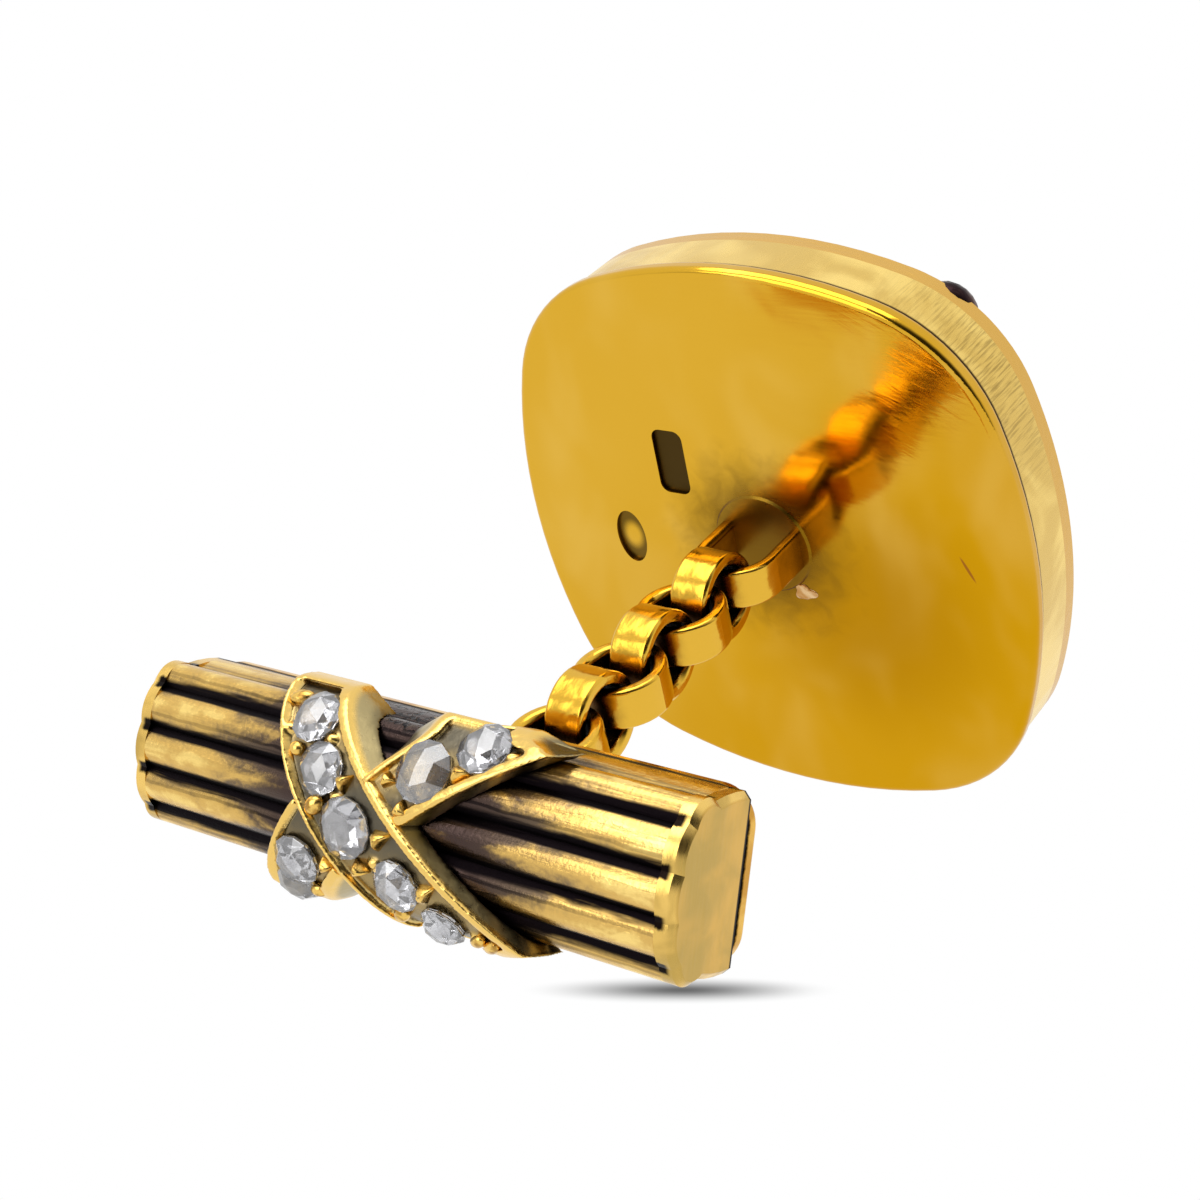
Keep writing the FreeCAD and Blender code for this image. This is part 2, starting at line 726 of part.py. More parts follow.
def crown_layer(name, low, high, back_at):
    """The layer over the bar's crown between two heights above its reeds."""
    prisms = []
    for word, outset in (("inner", low), ("outer", high)):
        line = doc.addObject("Sketcher::SketchObject", f"{name}_{word}_line")
        add_smooth_outline(line, outset, back_at if word == "outer" else back_at + size("bar_strap_high"))
        line.Placement = FreeCAD.Placement(V(-bar_half_long, 0, 0), FreeCAD.Rotation(V(1, 1, 1), 120))
        line.Visibility = False
        prism = doc.addObject("Part::Extrusion", f"{name}_{word}")
        prism.Base = line
        prism.DirMode = "Custom"
        prism.Dir = X_AXIS
        prism.LengthFwd = size("bar_long")
        prism.Solid = True
        prisms.append(prism)
    return boolean("Part::Cut", name, prisms[1], prisms[0])


def bed_place(x, y):
    """Where a stone stands on the crown's bed, its axis along the crown's outward normal."""
    tall = bar_half_tall + size("bar_bed_high")
    deep = size("bar_crown") + size("bar_bed_high")
    turn = math.asin(max(-1.0, min(1.0, y / tall)))
    place = V(x, tall * math.sin(turn), crown_z - deep * math.cos(turn))
    normal = V(0, math.sin(turn) / tall, -math.cos(turn) / deep)
    normal.normalize()
    return FreeCAD.Placement(place, FreeCAD.Rotation(Z_AXIS, normal))


strap_edge = bar_half_tall + size("bar_strap_high")
bar_strap = [
    (-size("strap_root_far"), -strap_edge - size("strap_root_past")),
    (-size("strap_waist_far"), size("strap_waist_rise")),
    (size("strap_heel"), strap_edge + size("strap_heel_past")),
    (size("strap_tip"), bar_half_tall + size("strap_tip_past")),
    (size("strap_waist_near"), size("strap_waist_drop")),
    (-size("strap_root_near"), -strap_edge - size("strap_root_past")),
]
wrap = crown_z + size("bar_strap_wrap")
deep_low = -bar_half_deep - 3 * size("bar_strap_high")
tall_span = wrap - deep_low
over_line = strap_sketch("bar_over_line", bar_strap)
under_line = strap_sketch("bar_under_line", mirrored(bar_strap))
doc.recompute()
layer = crown_layer("bar_strap_layer", 0.0, size("bar_strap_high"), wrap)
bed = crown_layer("bar_bed_layer", size("bar_bed_high"), 2 * size("bar_strap_high"), wrap - size("bar_rim"))
over_prism = extrude(over_line, "bar_over_prism", tall_span, deep_low)
under_prism = extrude(under_line, "bar_under_prism", tall_span, deep_low)
rim = size("bar_rim")
rim_lean = size("bar_rim_lean")
over_inner = drawn_in(over_line, "bar_over_inner", rim, deep_low, tall_span, rim_lean)
under_inner = drawn_in(under_line, "bar_under_inner", rim, deep_low, tall_span, rim_lean)
over_clear = drawn_in(over_line, "bar_over_clear", -size("strap_gap"), deep_low, tall_span)
over_solid = boolean("Part::Common", "bar_over_solid", layer, over_prism)
over_bed = boolean("Part::Common", "bar_over_bed", bed, over_inner)
over_open = boolean("Part::Cut", "bar_over_open", over_solid, over_bed)
under_solid = boolean("Part::Common", "bar_under_solid", layer, under_prism)
under_bed = boolean("Part::Common", "bar_under_bed", bed, under_inner)
under_open = boolean("Part::Cut", "bar_under_open", under_solid, under_bed)
under_cut = boolean("Part::Cut", "bar_under_cut", under_open, over_clear)
# Places on the bar: shares of the strap's reach along it and of the half height across it.
bar_stones = [
    (-0.478, -0.892, 1.0),
    (-0.333, -0.386, 0.98),
    (-0.122, 0.183, 1.13),
    (0.213, 0.684, 1.0),
    (0.467, 1.022, 0.875),
    (0.62, -0.997, 1.02),
    (0.32, -0.651, 1.1),
    (-0.489, 0.747, 1.0),
    (-0.562, 1.077, 0.88),
]
bar_grains = {
    "over": [
        (-0.633, -0.723),
        (-0.333, -0.723),
        (-0.211, -0.12),
        (0.067, 0.506),
        (0.356, 0.747),
        (0.667, 1.06),
    ],
    "right": [(0.516, -0.8), (0.778, -1.002)],
    "left": [(-0.633, 0.843)],
}
doc.recompute()


def bar_spot(along_share, across_share):
    """A place on the crown's bed from shares of the strap's reach and of the bar's half height."""
    return bed_place(along_share * size("strap_tip"), across_share * bar_half_tall)


def bar_grain_places(word):
    return [bar_spot(x, y).Base for x, y in bar_grains[word]]


over_done = fuse_grains("bar_over_done", over_open, bar_grain_places("over"), "bar_over")
over_done.Placement = BAR
keep(over_done, "bar_ribbon_over")
for word, way in (("right", 1), ("left", -1)):
    half = doc.addObject("Part::Box", f"bar_half_{word}")
    half.Length = size("bar_long")
    half.Width = size("bar_tall")
    half.Height = tall_span
    half.Placement.Base = V(-bar_half_long, -size("bar_tall") if way > 0 else 0, deep_low)
    arm = boolean("Part::Common", f"bar_arm_{word}", under_cut, half)
    done = fuse_grains(f"bar_arm_done_{word}", arm, bar_grain_places(word), f"bar_{word}")
    done.Placement = BAR
    keep(done, f"bar_ribbon_{word}")
for number, (x, y, share) in enumerate(bar_stones, 1):
    gem = stone(
        f"bar_gem_{number}",
        size("bar_stone_radius") * share,
        size("bar_stone_high"),
        BAR.multiply(bar_spot(x, y)),
    )
    keep(gem, f"bar_stone_{number}")

# The head's ribbon lies corner to corner on the reeded face.
reach = corner_middle().Length + size("corner_round") - size("head_strap_margin")
strap_half = size("head_strap_half")
along = V(1, 1, 0)
along.normalize()
across = V(-1, 1, 0)
across.normalize()


def on_diagonal(along_share, across_share):
    """A place on the face's diagonal from shares of the strap's reach and half width."""
    spot = along * (along_share * reach) + across * (across_share * strap_half)
    return (spot.x, spot.y)


head_strap = [
    on_diagonal(-0.94, 1.05),
    on_diagonal(0.0, 0.97),
    on_diagonal(0.72, 0.71),
    on_diagonal(1.0, -0.1),
    on_diagonal(0.0, -0.6),
    on_diagonal(-0.94, -1.0),
]
head_high = size("head_strap_high")
head_over_line = strap_sketch("head_over_line", head_strap)
head_under_line = strap_sketch("head_under_line", mirrored(head_strap))
doc.recompute()
bed_level = face_top + size("head_bed_high")
head_over = extrude(head_over_line, "head_over_prism", head_high, face_top)
head_under = extrude(head_under_line, "head_under_prism", head_high, face_top)
head_over_inner = drawn_in(head_over_line, "head_over_inner", size("head_rim"), bed_level, head_high)
head_under_inner = drawn_in(head_under_line, "head_under_inner", size("head_rim"), bed_level, head_high)
head_over_clear = drawn_in(
    head_over_line, "head_over_clear", -size("strap_gap"), face_top - head_high, 3 * head_high
)
head_over_open = boolean("Part::Cut", "head_over_open", head_over, head_over_inner)
head_under_open = boolean("Part::Cut", "head_under_open", head_under, head_under_inner)
head_under_cut = boolean("Part::Cut", "head_under_cut", head_under_open, head_over_clear)
head_grains = {
    "over": [
        (-0.787, 0.579),
        (-0.551, -0.579),
        (-0.197, 0.605),
        (0.2, -0.18),
        (0.551, 0.474),
        (0.809, 0.132),
    ],
    "right": [(0.584, 0.368), (0.798, 0.079)],
    "left": [(-0.584, 0.474), (-0.809, -0.474)],
}
head_stones = [
    ("over", -0.697, 0, 1),
    ("over", -0.371, 0.105, 1),
    ("over", 0, 0.184, 1.16),
    ("over", 0.36, 0.158, 1),
    ("over", 0.652, 0.179, 0.74),
    ("under", 0.382, 0.158, 1),
    ("under", 0.652, 0.179, 0.72),
    ("under", -0.393, 0.132, 1.04),
    ("under", -0.697, 0.026, 1),
]
doc.recompute()


def head_spot(strap, u, v):
    x, y = on_diagonal(u, v)
    return V(x, y if strap == "over" else -y, bed_level)


head_over_done = fuse_grains(
    "head_over_done", head_over_open, [head_spot("over", u, v) for u, v in head_grains["over"]], "head_over"
)
keep(head_over_done, "head_ribbon_over")
for word, way in (("right", 1), ("left", -1)):
    half = doc.addObject("Part::Box", f"head_half_{word}")
    half.Length = size("head_across") * 2
    half.Width = size("head_tall")
    half.Height = head_high * 3
    half.Placement.Base = V(-size("head_across"), -size("head_tall") if way > 0 else 0, face_top - head_high)
    arm = boolean("Part::Common", f"head_arm_{word}", head_under_cut, half)
    spots = [head_spot("under", u, v) for u, v in head_grains[word]]
    done = fuse_grains(f"head_arm_done_{word}", arm, spots, f"head_{word}")
    keep(done, f"head_ribbon_{word}")
for number, (strap, u, v, share) in enumerate(head_stones, 1):
    place = FreeCAD.Placement(head_spot(strap, u, v), FreeCAD.Rotation())
    gem = stone(f"head_gem_{number}", size("head_stone_radius") * share, size("head_stone_high"), place)
    keep(gem, f"head_stone_{number}")

doc.recompute()
for item in doc.Objects:
    if "Invalid" in item.State or "Error" in item.State:
        raise RuntimeError(f"{item.Label} is in error")
os.makedirs("parts", exist_ok=True)
for item in parts:
    shape = item.Shape
    if shape.isNull() or not shape.isValid():
        raise RuntimeError(f"{item.Label} has no valid shape")
    if len(shape.Solids) != 1:
        raise RuntimeError(f"{item.Label} has {len(shape.Solids)} solids")
    shape.exportStep(os.path.join("parts", f"{item.Label}.step"))
print("link pitch", round(link_pitch, 4), "last link", round(last_link, 4), "loop bar", round(loop_bar, 4))
print("bar middle", [round(value, 4) for value in bar_middle])
print("pieces", len(parts))
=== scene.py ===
"""Looks of a double-ended cufflink: a hollow cushion head, a chain of flat rings and a reeded toggle bar.

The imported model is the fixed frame. The rose-cut stones, the worn ribbons, their grains and the solder are
modelled here, and every piece gets its finish from shader nodes. Sizes and places are in millimetres, and
the finished meshes are in metres.
"""

import json
import logging
import math
from abc import ABC, abstractmethod
from dataclasses import dataclass, field
from enum import Enum
from typing import Any

import bpy
from mathutils import Matrix, Vector

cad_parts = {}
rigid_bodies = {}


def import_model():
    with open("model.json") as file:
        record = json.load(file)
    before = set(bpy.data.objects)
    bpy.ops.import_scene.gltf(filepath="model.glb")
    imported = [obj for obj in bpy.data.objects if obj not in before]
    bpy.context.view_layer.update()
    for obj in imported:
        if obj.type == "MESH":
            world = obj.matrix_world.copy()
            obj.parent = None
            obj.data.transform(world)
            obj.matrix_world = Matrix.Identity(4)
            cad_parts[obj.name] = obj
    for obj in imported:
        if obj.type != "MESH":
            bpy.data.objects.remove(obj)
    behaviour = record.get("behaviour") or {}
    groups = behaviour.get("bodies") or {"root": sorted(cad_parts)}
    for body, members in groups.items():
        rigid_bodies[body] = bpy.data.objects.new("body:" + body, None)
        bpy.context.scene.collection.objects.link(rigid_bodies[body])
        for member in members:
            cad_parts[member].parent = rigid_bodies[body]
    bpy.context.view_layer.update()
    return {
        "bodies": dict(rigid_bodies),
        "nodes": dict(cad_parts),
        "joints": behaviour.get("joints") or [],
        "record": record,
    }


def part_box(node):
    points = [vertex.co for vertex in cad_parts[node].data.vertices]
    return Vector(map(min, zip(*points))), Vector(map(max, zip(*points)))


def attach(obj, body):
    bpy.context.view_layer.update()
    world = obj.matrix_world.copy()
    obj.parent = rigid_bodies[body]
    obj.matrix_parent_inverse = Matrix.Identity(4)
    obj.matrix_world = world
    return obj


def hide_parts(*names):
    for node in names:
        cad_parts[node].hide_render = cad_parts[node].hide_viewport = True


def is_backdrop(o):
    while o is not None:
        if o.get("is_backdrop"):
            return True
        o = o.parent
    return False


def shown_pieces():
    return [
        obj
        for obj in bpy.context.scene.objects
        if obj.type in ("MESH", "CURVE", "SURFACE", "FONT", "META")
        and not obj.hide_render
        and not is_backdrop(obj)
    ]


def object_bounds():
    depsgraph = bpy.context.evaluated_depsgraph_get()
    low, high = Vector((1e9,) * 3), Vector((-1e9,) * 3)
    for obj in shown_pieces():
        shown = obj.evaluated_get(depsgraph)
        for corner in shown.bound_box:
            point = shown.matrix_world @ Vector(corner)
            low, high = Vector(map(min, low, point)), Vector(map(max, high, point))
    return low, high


MM = 0.001
TINY = 1e-6
SKY_SAMPLES = 12
LOG = logging.getLogger("cufflink")

Colour = tuple[float, float, float, float]
Spot = tuple[float, float, float]
Span = tuple[float, float]


def tint(red: int, green: int, blue: int) -> Colour:
    """A display colour as the linear colour that shaders take.

    Args:
        red: display red, 0 to 255.
        green: display green, 0 to 255.
        blue: display blue, 0 to 255.

    Returns:
        The linear colour with full alpha.
    """
    linear = []
    for channel in (red, green, blue):
        share = channel / 255
        linear.append(share / 12.92 if share <= 0.04045 else ((share + 0.055) / 1.055) ** 2.4)
    return (linear[0], linear[1], linear[2], 1.0)


WHITE = tint(255, 255, 255)


class Field:
    """A value that varies over a surface: a node's output with arithmetic."""

    def __init__(self, shader: "Shader", socket: bpy.types.NodeSocket | None) -> None:
        """Keeps the shader and the socket, which an output node lacks."""
        self.shader = shader
        self.socket = socket

    def maths(self, operation: str, first: Any, second: Any) -> "Field":
        """A Math node on two values."""
        return self.shader.node("ShaderNodeMath", {"operation": operation}, {0: first, 1: second})

    def __add__(self, other: Any) -> "Field":
        """This value plus another."""
        return self.maths("ADD", self, other)

    def __sub__(self, other: Any) -> "Field":
        """This value less another."""
        return self.maths("SUBTRACT", self, other)

    def __rsub__(self, other: Any) -> "Field":
        """Another value less this one."""
        return self.maths("SUBTRACT", other, self)

    def __mul__(self, other: Any) -> "Field":
        """This value times another."""
        return self.maths("MULTIPLY", self, other)

    def __truediv__(self, other: Any) -> "Field":
        """This value divided by another."""
        return self.maths("DIVIDE", self, other)

    def absolute(self) -> "Field":
        """This value without its sign."""
        return self.maths("ABSOLUTE", self, 0.0)

    def least(self, other: Any) -> "Field":
        """The smaller of two values."""
        return self.maths("MINIMUM", self, other)

    def most(self, other: Any) -> "Field":
        """The larger of two values."""
        return self.maths("MAXIMUM", self, other)

    def sine(self) -> "Field":
        """The sine of this angle."""
        return self.maths("SINE", self, 0.0)

    def fraction(self) -> "Field":
        """What this value has past a whole number."""
        return self.maths("FRACT", self, 0.0)

    def root(self) -> "Field":
        """The square root of this value."""
        return self.maths("SQRT", self, 0.0)

    def angle(self, other: Any) -> "Field":
        """The angle whose rise is this value and whose run is another."""
        return self.maths("ARCTAN2", self, other)


class Shader:
    """The nodes of one material or of the world."""

    def __init__(self, owner: bpy.types.ID) -> None:
        """Clears the owner's node tree and keeps it.

        Args:
            owner: the material or the world.
        """
        owner.use_nodes = True
        self.tree = owner.node_tree
        self.tree.nodes.clear()

    def node(
        self,
        kind: str,
        settings: dict[str, Any] | None = None,
        inputs: dict[str | int, Any] | None = None,
        output: str | int = 0,
    ) -> Field:
        """Adds one node.

        Args:
            kind: the node's type name.
            settings: the node's own settings.
            inputs: values or fields for its sockets, by name or number.
            output: the output that is wanted, by name or number.

        Returns:
            The wanted output as a field.
        """
        made = self.tree.nodes.new(kind)
        for key, value in (settings or {}).items():
            setattr(made, key, value)
        for key, value in (inputs or {}).items():
            if isinstance(value, Field):
                self.tree.links.new(value.socket, made.inputs[key])
            else:
                made.inputs[key].default_value = value
        return Field(self, made.outputs[output] if len(made.outputs) else None)

    def millimetres(self) -> Field:
        """Object coordinates in millimetres."""
        place = self.node("ShaderNodeTexCoord", output="Object")
        return self.node("ShaderNodeVectorMath", {"operation": "SCALE"}, {0: place, "Scale": 1 / MM})

    def turned(self, coords: Field, middle_mm: Vector | Spot, turn: Spot) -> Field:
        """Coordinates in a frame that is moved and turned.

        Args:
            coords: the coordinates to change, in millimetres.
            middle_mm: the frame's origin.
            turn: the frame's turn about X, Y and Z in radians.

        Returns:
            The coordinates in that frame.
        """
        return self.node(
            "ShaderNodeMapping",
            {"vector_type": "TEXTURE"},
            {"Vector": coords, "Location": tuple(middle_mm), "Rotation": turn},
        )

    def stretched(self, coords: Field, scale: Spot) -> Field:
        """Coordinates scaled apart along the axes."""
        return self.node("ShaderNodeMapping", inputs={"Vector": coords, "Scale": scale})

    def axis(self, coords: Field, name: str) -> Field:
        """One coordinate, X, Y or Z."""
        return self.node("ShaderNodeSeparateXYZ", inputs={0: coords}, output=name)

    def facing(self, name: str) -> Field:
        """How far the surface faces along one of the piece's own axes, without its sign."""
        return self.axis(self.node("ShaderNodeTexCoord", output="Normal"), name).absolute()

    def away(self, coords: Field, spot: Spot = (0.0, 0.0, 0.0)) -> Field:
        """The distance from a spot."""
        return self.node(
            "ShaderNodeVectorMath", {"operation": "DISTANCE"}, {0: coords, 1: spot}, output="Value"
        )

    def oval(self, coords: Field, middle_mm: Vector | Spot, turn: Spot, scale: Spot) -> Field:
        """The distance from the middle of a frame that is moved, turned and then scaled.

        Args:
            coords: where it is read, in millimetres.
            middle_mm: the frame's origin.
            turn: the frame's turn about X, Y and Z in radians.
            scale: the scale along its axes.

        Returns:
            The distance.
        """
        return self.away(self.stretched(self.turned(coords, middle_mm, turn), scale))

    def toward(self, way: Field, axis: Vector) -> Field:
        """How far a direction points along an axis."""
        return self.node(
            "ShaderNodeVectorMath", {"operation": "DOT_PRODUCT"}, {0: way, 1: tuple(axis)}, output="Value"
        )

    def noise(self, coords: Field, scale: float, detail: float = 3.0, bend: float = 0.0) -> Field:
        """Soft noise from 0 to 1.

        Args:
            coords: where it is read.
            scale: waves per unit of the coordinates.
            detail: how many finer layers it has.
            bend: how far it is distorted.

        Returns:
            The noise.
        """
        return self.node(
            "ShaderNodeTexNoise",
            inputs={"Vector": coords, "Scale": scale, "Detail": detail, "Distortion": bend},
        )

    def streaks(self, coords: Field, scale: Spot, detail: float, bend: float) -> Field:
        """Soft noise whose waves per unit differ along the axes.

        Args:
            coords: where it is read.
            scale: waves per unit along X, Y and Z.
            detail: how many finer layers it has.
            bend: how far it is distorted.

        Returns:
            The noise.
        """
        return self.noise(self.stretched(coords, scale), 1.0, detail, bend)

    def ease(self, value: Field, low: float, high: float) -> Field:
        """A smooth step from 0 at low to 1 at high; low may be the larger."""
        return self.node(
            "ShaderNodeMapRange",
            {"interpolation_type": "SMOOTHSTEP"},
            {"Value": value, "From Min": low, "From Max": high},
        )

    def span(self, value: Field, low: float, high: float) -> Field:
        """A value from 0 to 1 spread between two numbers."""
        return self.node("ShaderNodeMapRange", inputs={"Value": value, "To Min": low, "To Max": high})

    def blend(self, first: Any, second: Any, share: Any) -> Field:
        """A colour between two colours.

        Args:
            first: the colour at share 0.
            second: the colour at share 1.
            share: how much of the second there is.

        Returns:
            The blended colour.
        """
        return self.node("ShaderNodeMix", {"data_type": "RGBA"}, {0: share, 6: first, 7: second}, output=2)

    def open_sky(self, reach_mm: float) -> Field:
        """How open a spot is, from 0 in a hollow to 1, within a reach."""
        return self.node(
            "ShaderNodeAmbientOcclusion",
            {"samples": SKY_SAMPLES},
            {"Distance": reach_mm * MM},
            output="AO",
        )

    def bump(self, height: Field, depth_mm: float, under: Field | None = None) -> Field:
        """A normal that is roughened by a height.

        Args:
            height: the height, from 0 to 1.
            depth_mm: how tall a height of 1 is.
            under: another bumped normal that this one adds to.

        Returns:
            The normal.
        """
        inputs = {"Height": height, "Distance": depth_mm * MM, "Strength": 1.0}
        if under is not None:
            inputs["Normal"] = under
        return self.node("ShaderNodeBump", inputs=inputs)

    def metal(self, colour: Any, roughness: Any, normal: Field | None = None) -> None:
        """Ends the nodes in a metal.

        Args:
            colour: its colour or colour field.
            roughness: its roughness or roughness field.
            normal: its bumped normal.
        """
        inputs = {"Base Color": colour, "Roughness": roughness, "Metallic": 1.0}
        if normal is not None:
            inputs["Normal"] = normal
        self.surface(self.node("ShaderNodeBsdfPrincipled", inputs=inputs))

    def ray(self, kind: str) -> Field:
        """Whether light is followed in one way, such as "Is Camera Ray"."""
        return self.node("ShaderNodeLightPath", output=kind)

    def glow(self, colour: Colour) -> Field:
        """A closure that shines in its colour."""
        return self.node("ShaderNodeEmission", inputs={"Color": colour})

    def mixed(self, first: Field, second: Field, share: Any) -> Field:
        """A closure between two closures."""
        return self.node("ShaderNodeMixShader", inputs={0: share, 1: first, 2: second})

    def surface(self, closure: Field) -> None:
        """Ends a material's nodes in a surface."""
        self.node("ShaderNodeOutputMaterial", inputs={"Surface": closure})


@dataclass(frozen=True)
class BarShape:
    """The bar's own frame and section: X along it, its crown at -Z, its back plate at +Z."""

    middle: Vector
    roll: float = math.radians(-30)
    half_long: float = 8.35
    half_tall: float = 2.075
    crown: float = 1.05
    crown_level: float = -0.5
    back_level: float = 1.1
    reeds: int = 7
    bed_high: float = 0.4
    strap_high: float = 0.58

    @classmethod
    def of_frame(cls, back_plate_level: float = 1.325) -> "BarShape":
        """Finds the bar's middle from the middle of its back plate.

        Args:
            back_plate_level: the level of the plate's middle in the bar's frame.

        Returns:
            The bar's shape.
        """
        low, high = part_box("bar_back_plate")
        turned = Matrix.Rotation(cls.roll, 3, "X") @ Vector((0, 0, back_plate_level))
        return cls((Vector(low) + Vector(high)) / 2 / MM - turned)

    def frame(self) -> Matrix:
        """The bar's frame in the model's."""
        return Matrix.Translation(self.middle) @ Matrix.Rotation(self.roll, 4, "X")

    def crown_mean(self) -> tuple[float, float, float]:
        """The terms of the crown's length as a row of sines.

        Returns:
            Its mean pace, and its swings at twice and at four times the turn.
        """
        tall, deep = self.half_tall, self.crown
        round_way = 3 * (tall + deep) - math.sqrt((3 * tall + deep) * (tall + 3 * deep))
        mean = round_way / 2
        return mean, (tall - deep) / 2, (tall + deep) / 2 - mean

    def pitch(self) -> float:
        """The width of one reed along the section."""
        sides = 2 * (self.back_level - self.crown_level)
        return (sides + self.crown_mean()[0] * math.pi) / self.reeds

    def height(self, spot: Vector) -> float:
        """How far a spot lies outside the bar's smooth section.

        Args:
            spot: the spot in the bar's frame.

        Returns:
            The distance.
        """
        across = abs(spot.y) / self.half_tall
        rise = max(0.0, self.crown_level - spot.z) / self.crown
        reach = max(TINY, math.hypot(across, rise))
        return (reach - 1) / reach * math.hypot(self.half_tall * across, self.crown * rise)

    def drawn(self, spot: Vector, way: float, steps: int = 8) -> Vector:
        """A spot moved round the section toward the crown, at its own height.

        Args:
            spot: the spot in the bar's frame.
            way: how far it moves.
            steps: how many short steps the move has.

        Returns:
            The moved spot.
        """
        high = self.height(spot)
        lift = max(0.0, spot.z - self.crown_level)
        turn = math.atan2(abs(spot.y) / self.half_tall, max(0.0, self.crown_level - spot.z) / self.crown)
        eaten = min(way, lift)
        for _ in range(steps):
            pace = math.hypot(self.half_tall * math.cos(turn), self.crown * math.sin(turn))
            turn -= (way - eaten) / steps / pace
        wide = self.half_tall * math.sin(turn)
        deep = self.crown * math.cos(turn)
        reach = 1 + high / math.hypot(wide, deep)
        level = self.crown_level - deep * reach + lift - eaten
        return Vector((spot.x, math.copysign(wide * reach, spot.y), level))

    def seat(self, along: float, across: float, high: float, spin: float) -> Matrix:
        """A frame on the crown, Z along its outward normal.

        Args:
            along: the place along the bar.
            across: the place across it.
            high: the height above the reeds.
            spin: the turn about the normal.

        Returns:
            The frame in the model's.
        """
        tall = self.half_tall + high
        deep = self.crown + high
        turn = math.asin(max(-1.0, min(1.0, across / tall)))
        spot = Vector((along, tall * math.sin(turn), self.crown_level - deep * math.cos(turn)))
        normal = Vector((0, math.sin(turn) / tall, -math.cos(turn) / deep)).normalized()
        length = Vector((1, 0, 0))
        axes = Matrix((length, normal.cross(length), normal)).transposed().to_4x4()
        return self.frame() @ Matrix.Translation(spot) @ axes @ Matrix.Rotation(spin, 4, "Z")


class BarCoords:
    """Places on the bar for its finishes: along it, round its reeds and above its crown."""

    def __init__(self, shader: Shader, shape: BarShape) -> None:
        """Works the fields out from the object's coordinates.

        Args:
            shader: the shader that takes the nodes.
            shape: the bar's frame and section.
        """
        self.place = shader.turned(shader.millimetres(), shape.middle, (shape.roll, 0, 0))
        self.along = shader.axis(self.place, "X")
        self.across = shader.axis(self.place, "Y")
        self.depth = shader.axis(self.place, "Z")
        share = self.across.absolute() / shape.half_tall
        rise = (shape.crown_level - self.depth) / shape.crown
        turn = share.angle(rise).least(math.pi / 2)
        mean, twice, fourth = shape.crown_mean()
        run = turn * mean + (turn * 2.0).sine() * (twice / 2) + (turn * 4.0).sine() * (fourth / 4)
        run = run + (self.depth - shape.crown_level).most(0.0)
        self.phase = ((run / shape.pitch()).fraction() - 0.5) * shape.pitch()
        self.groove = self.phase.absolute()
        dome = rise.most(0.0)
        length = (share * share + dome * dome).root()
        wide = share * shape.half_tall
        tall = dome * shape.crown
        self.height = (length - 1.0) / length * (wide * wide + tall * tall).root()


class Finish(ABC):
    """A finish: a named material that is painted with nodes."""

    name: str

    @abstractmethod
    def paint(self, shader: Shader) -> None:
        """Builds the nodes.

        Args:
            shader: the material's shader.
        """

    def make(self) -> bpy.types.Material:
        """Makes the material.

        Returns:
            The material.
        """
        material = bpy.data.materials.new(self.name)
        self.paint(Shader(material))
        return material


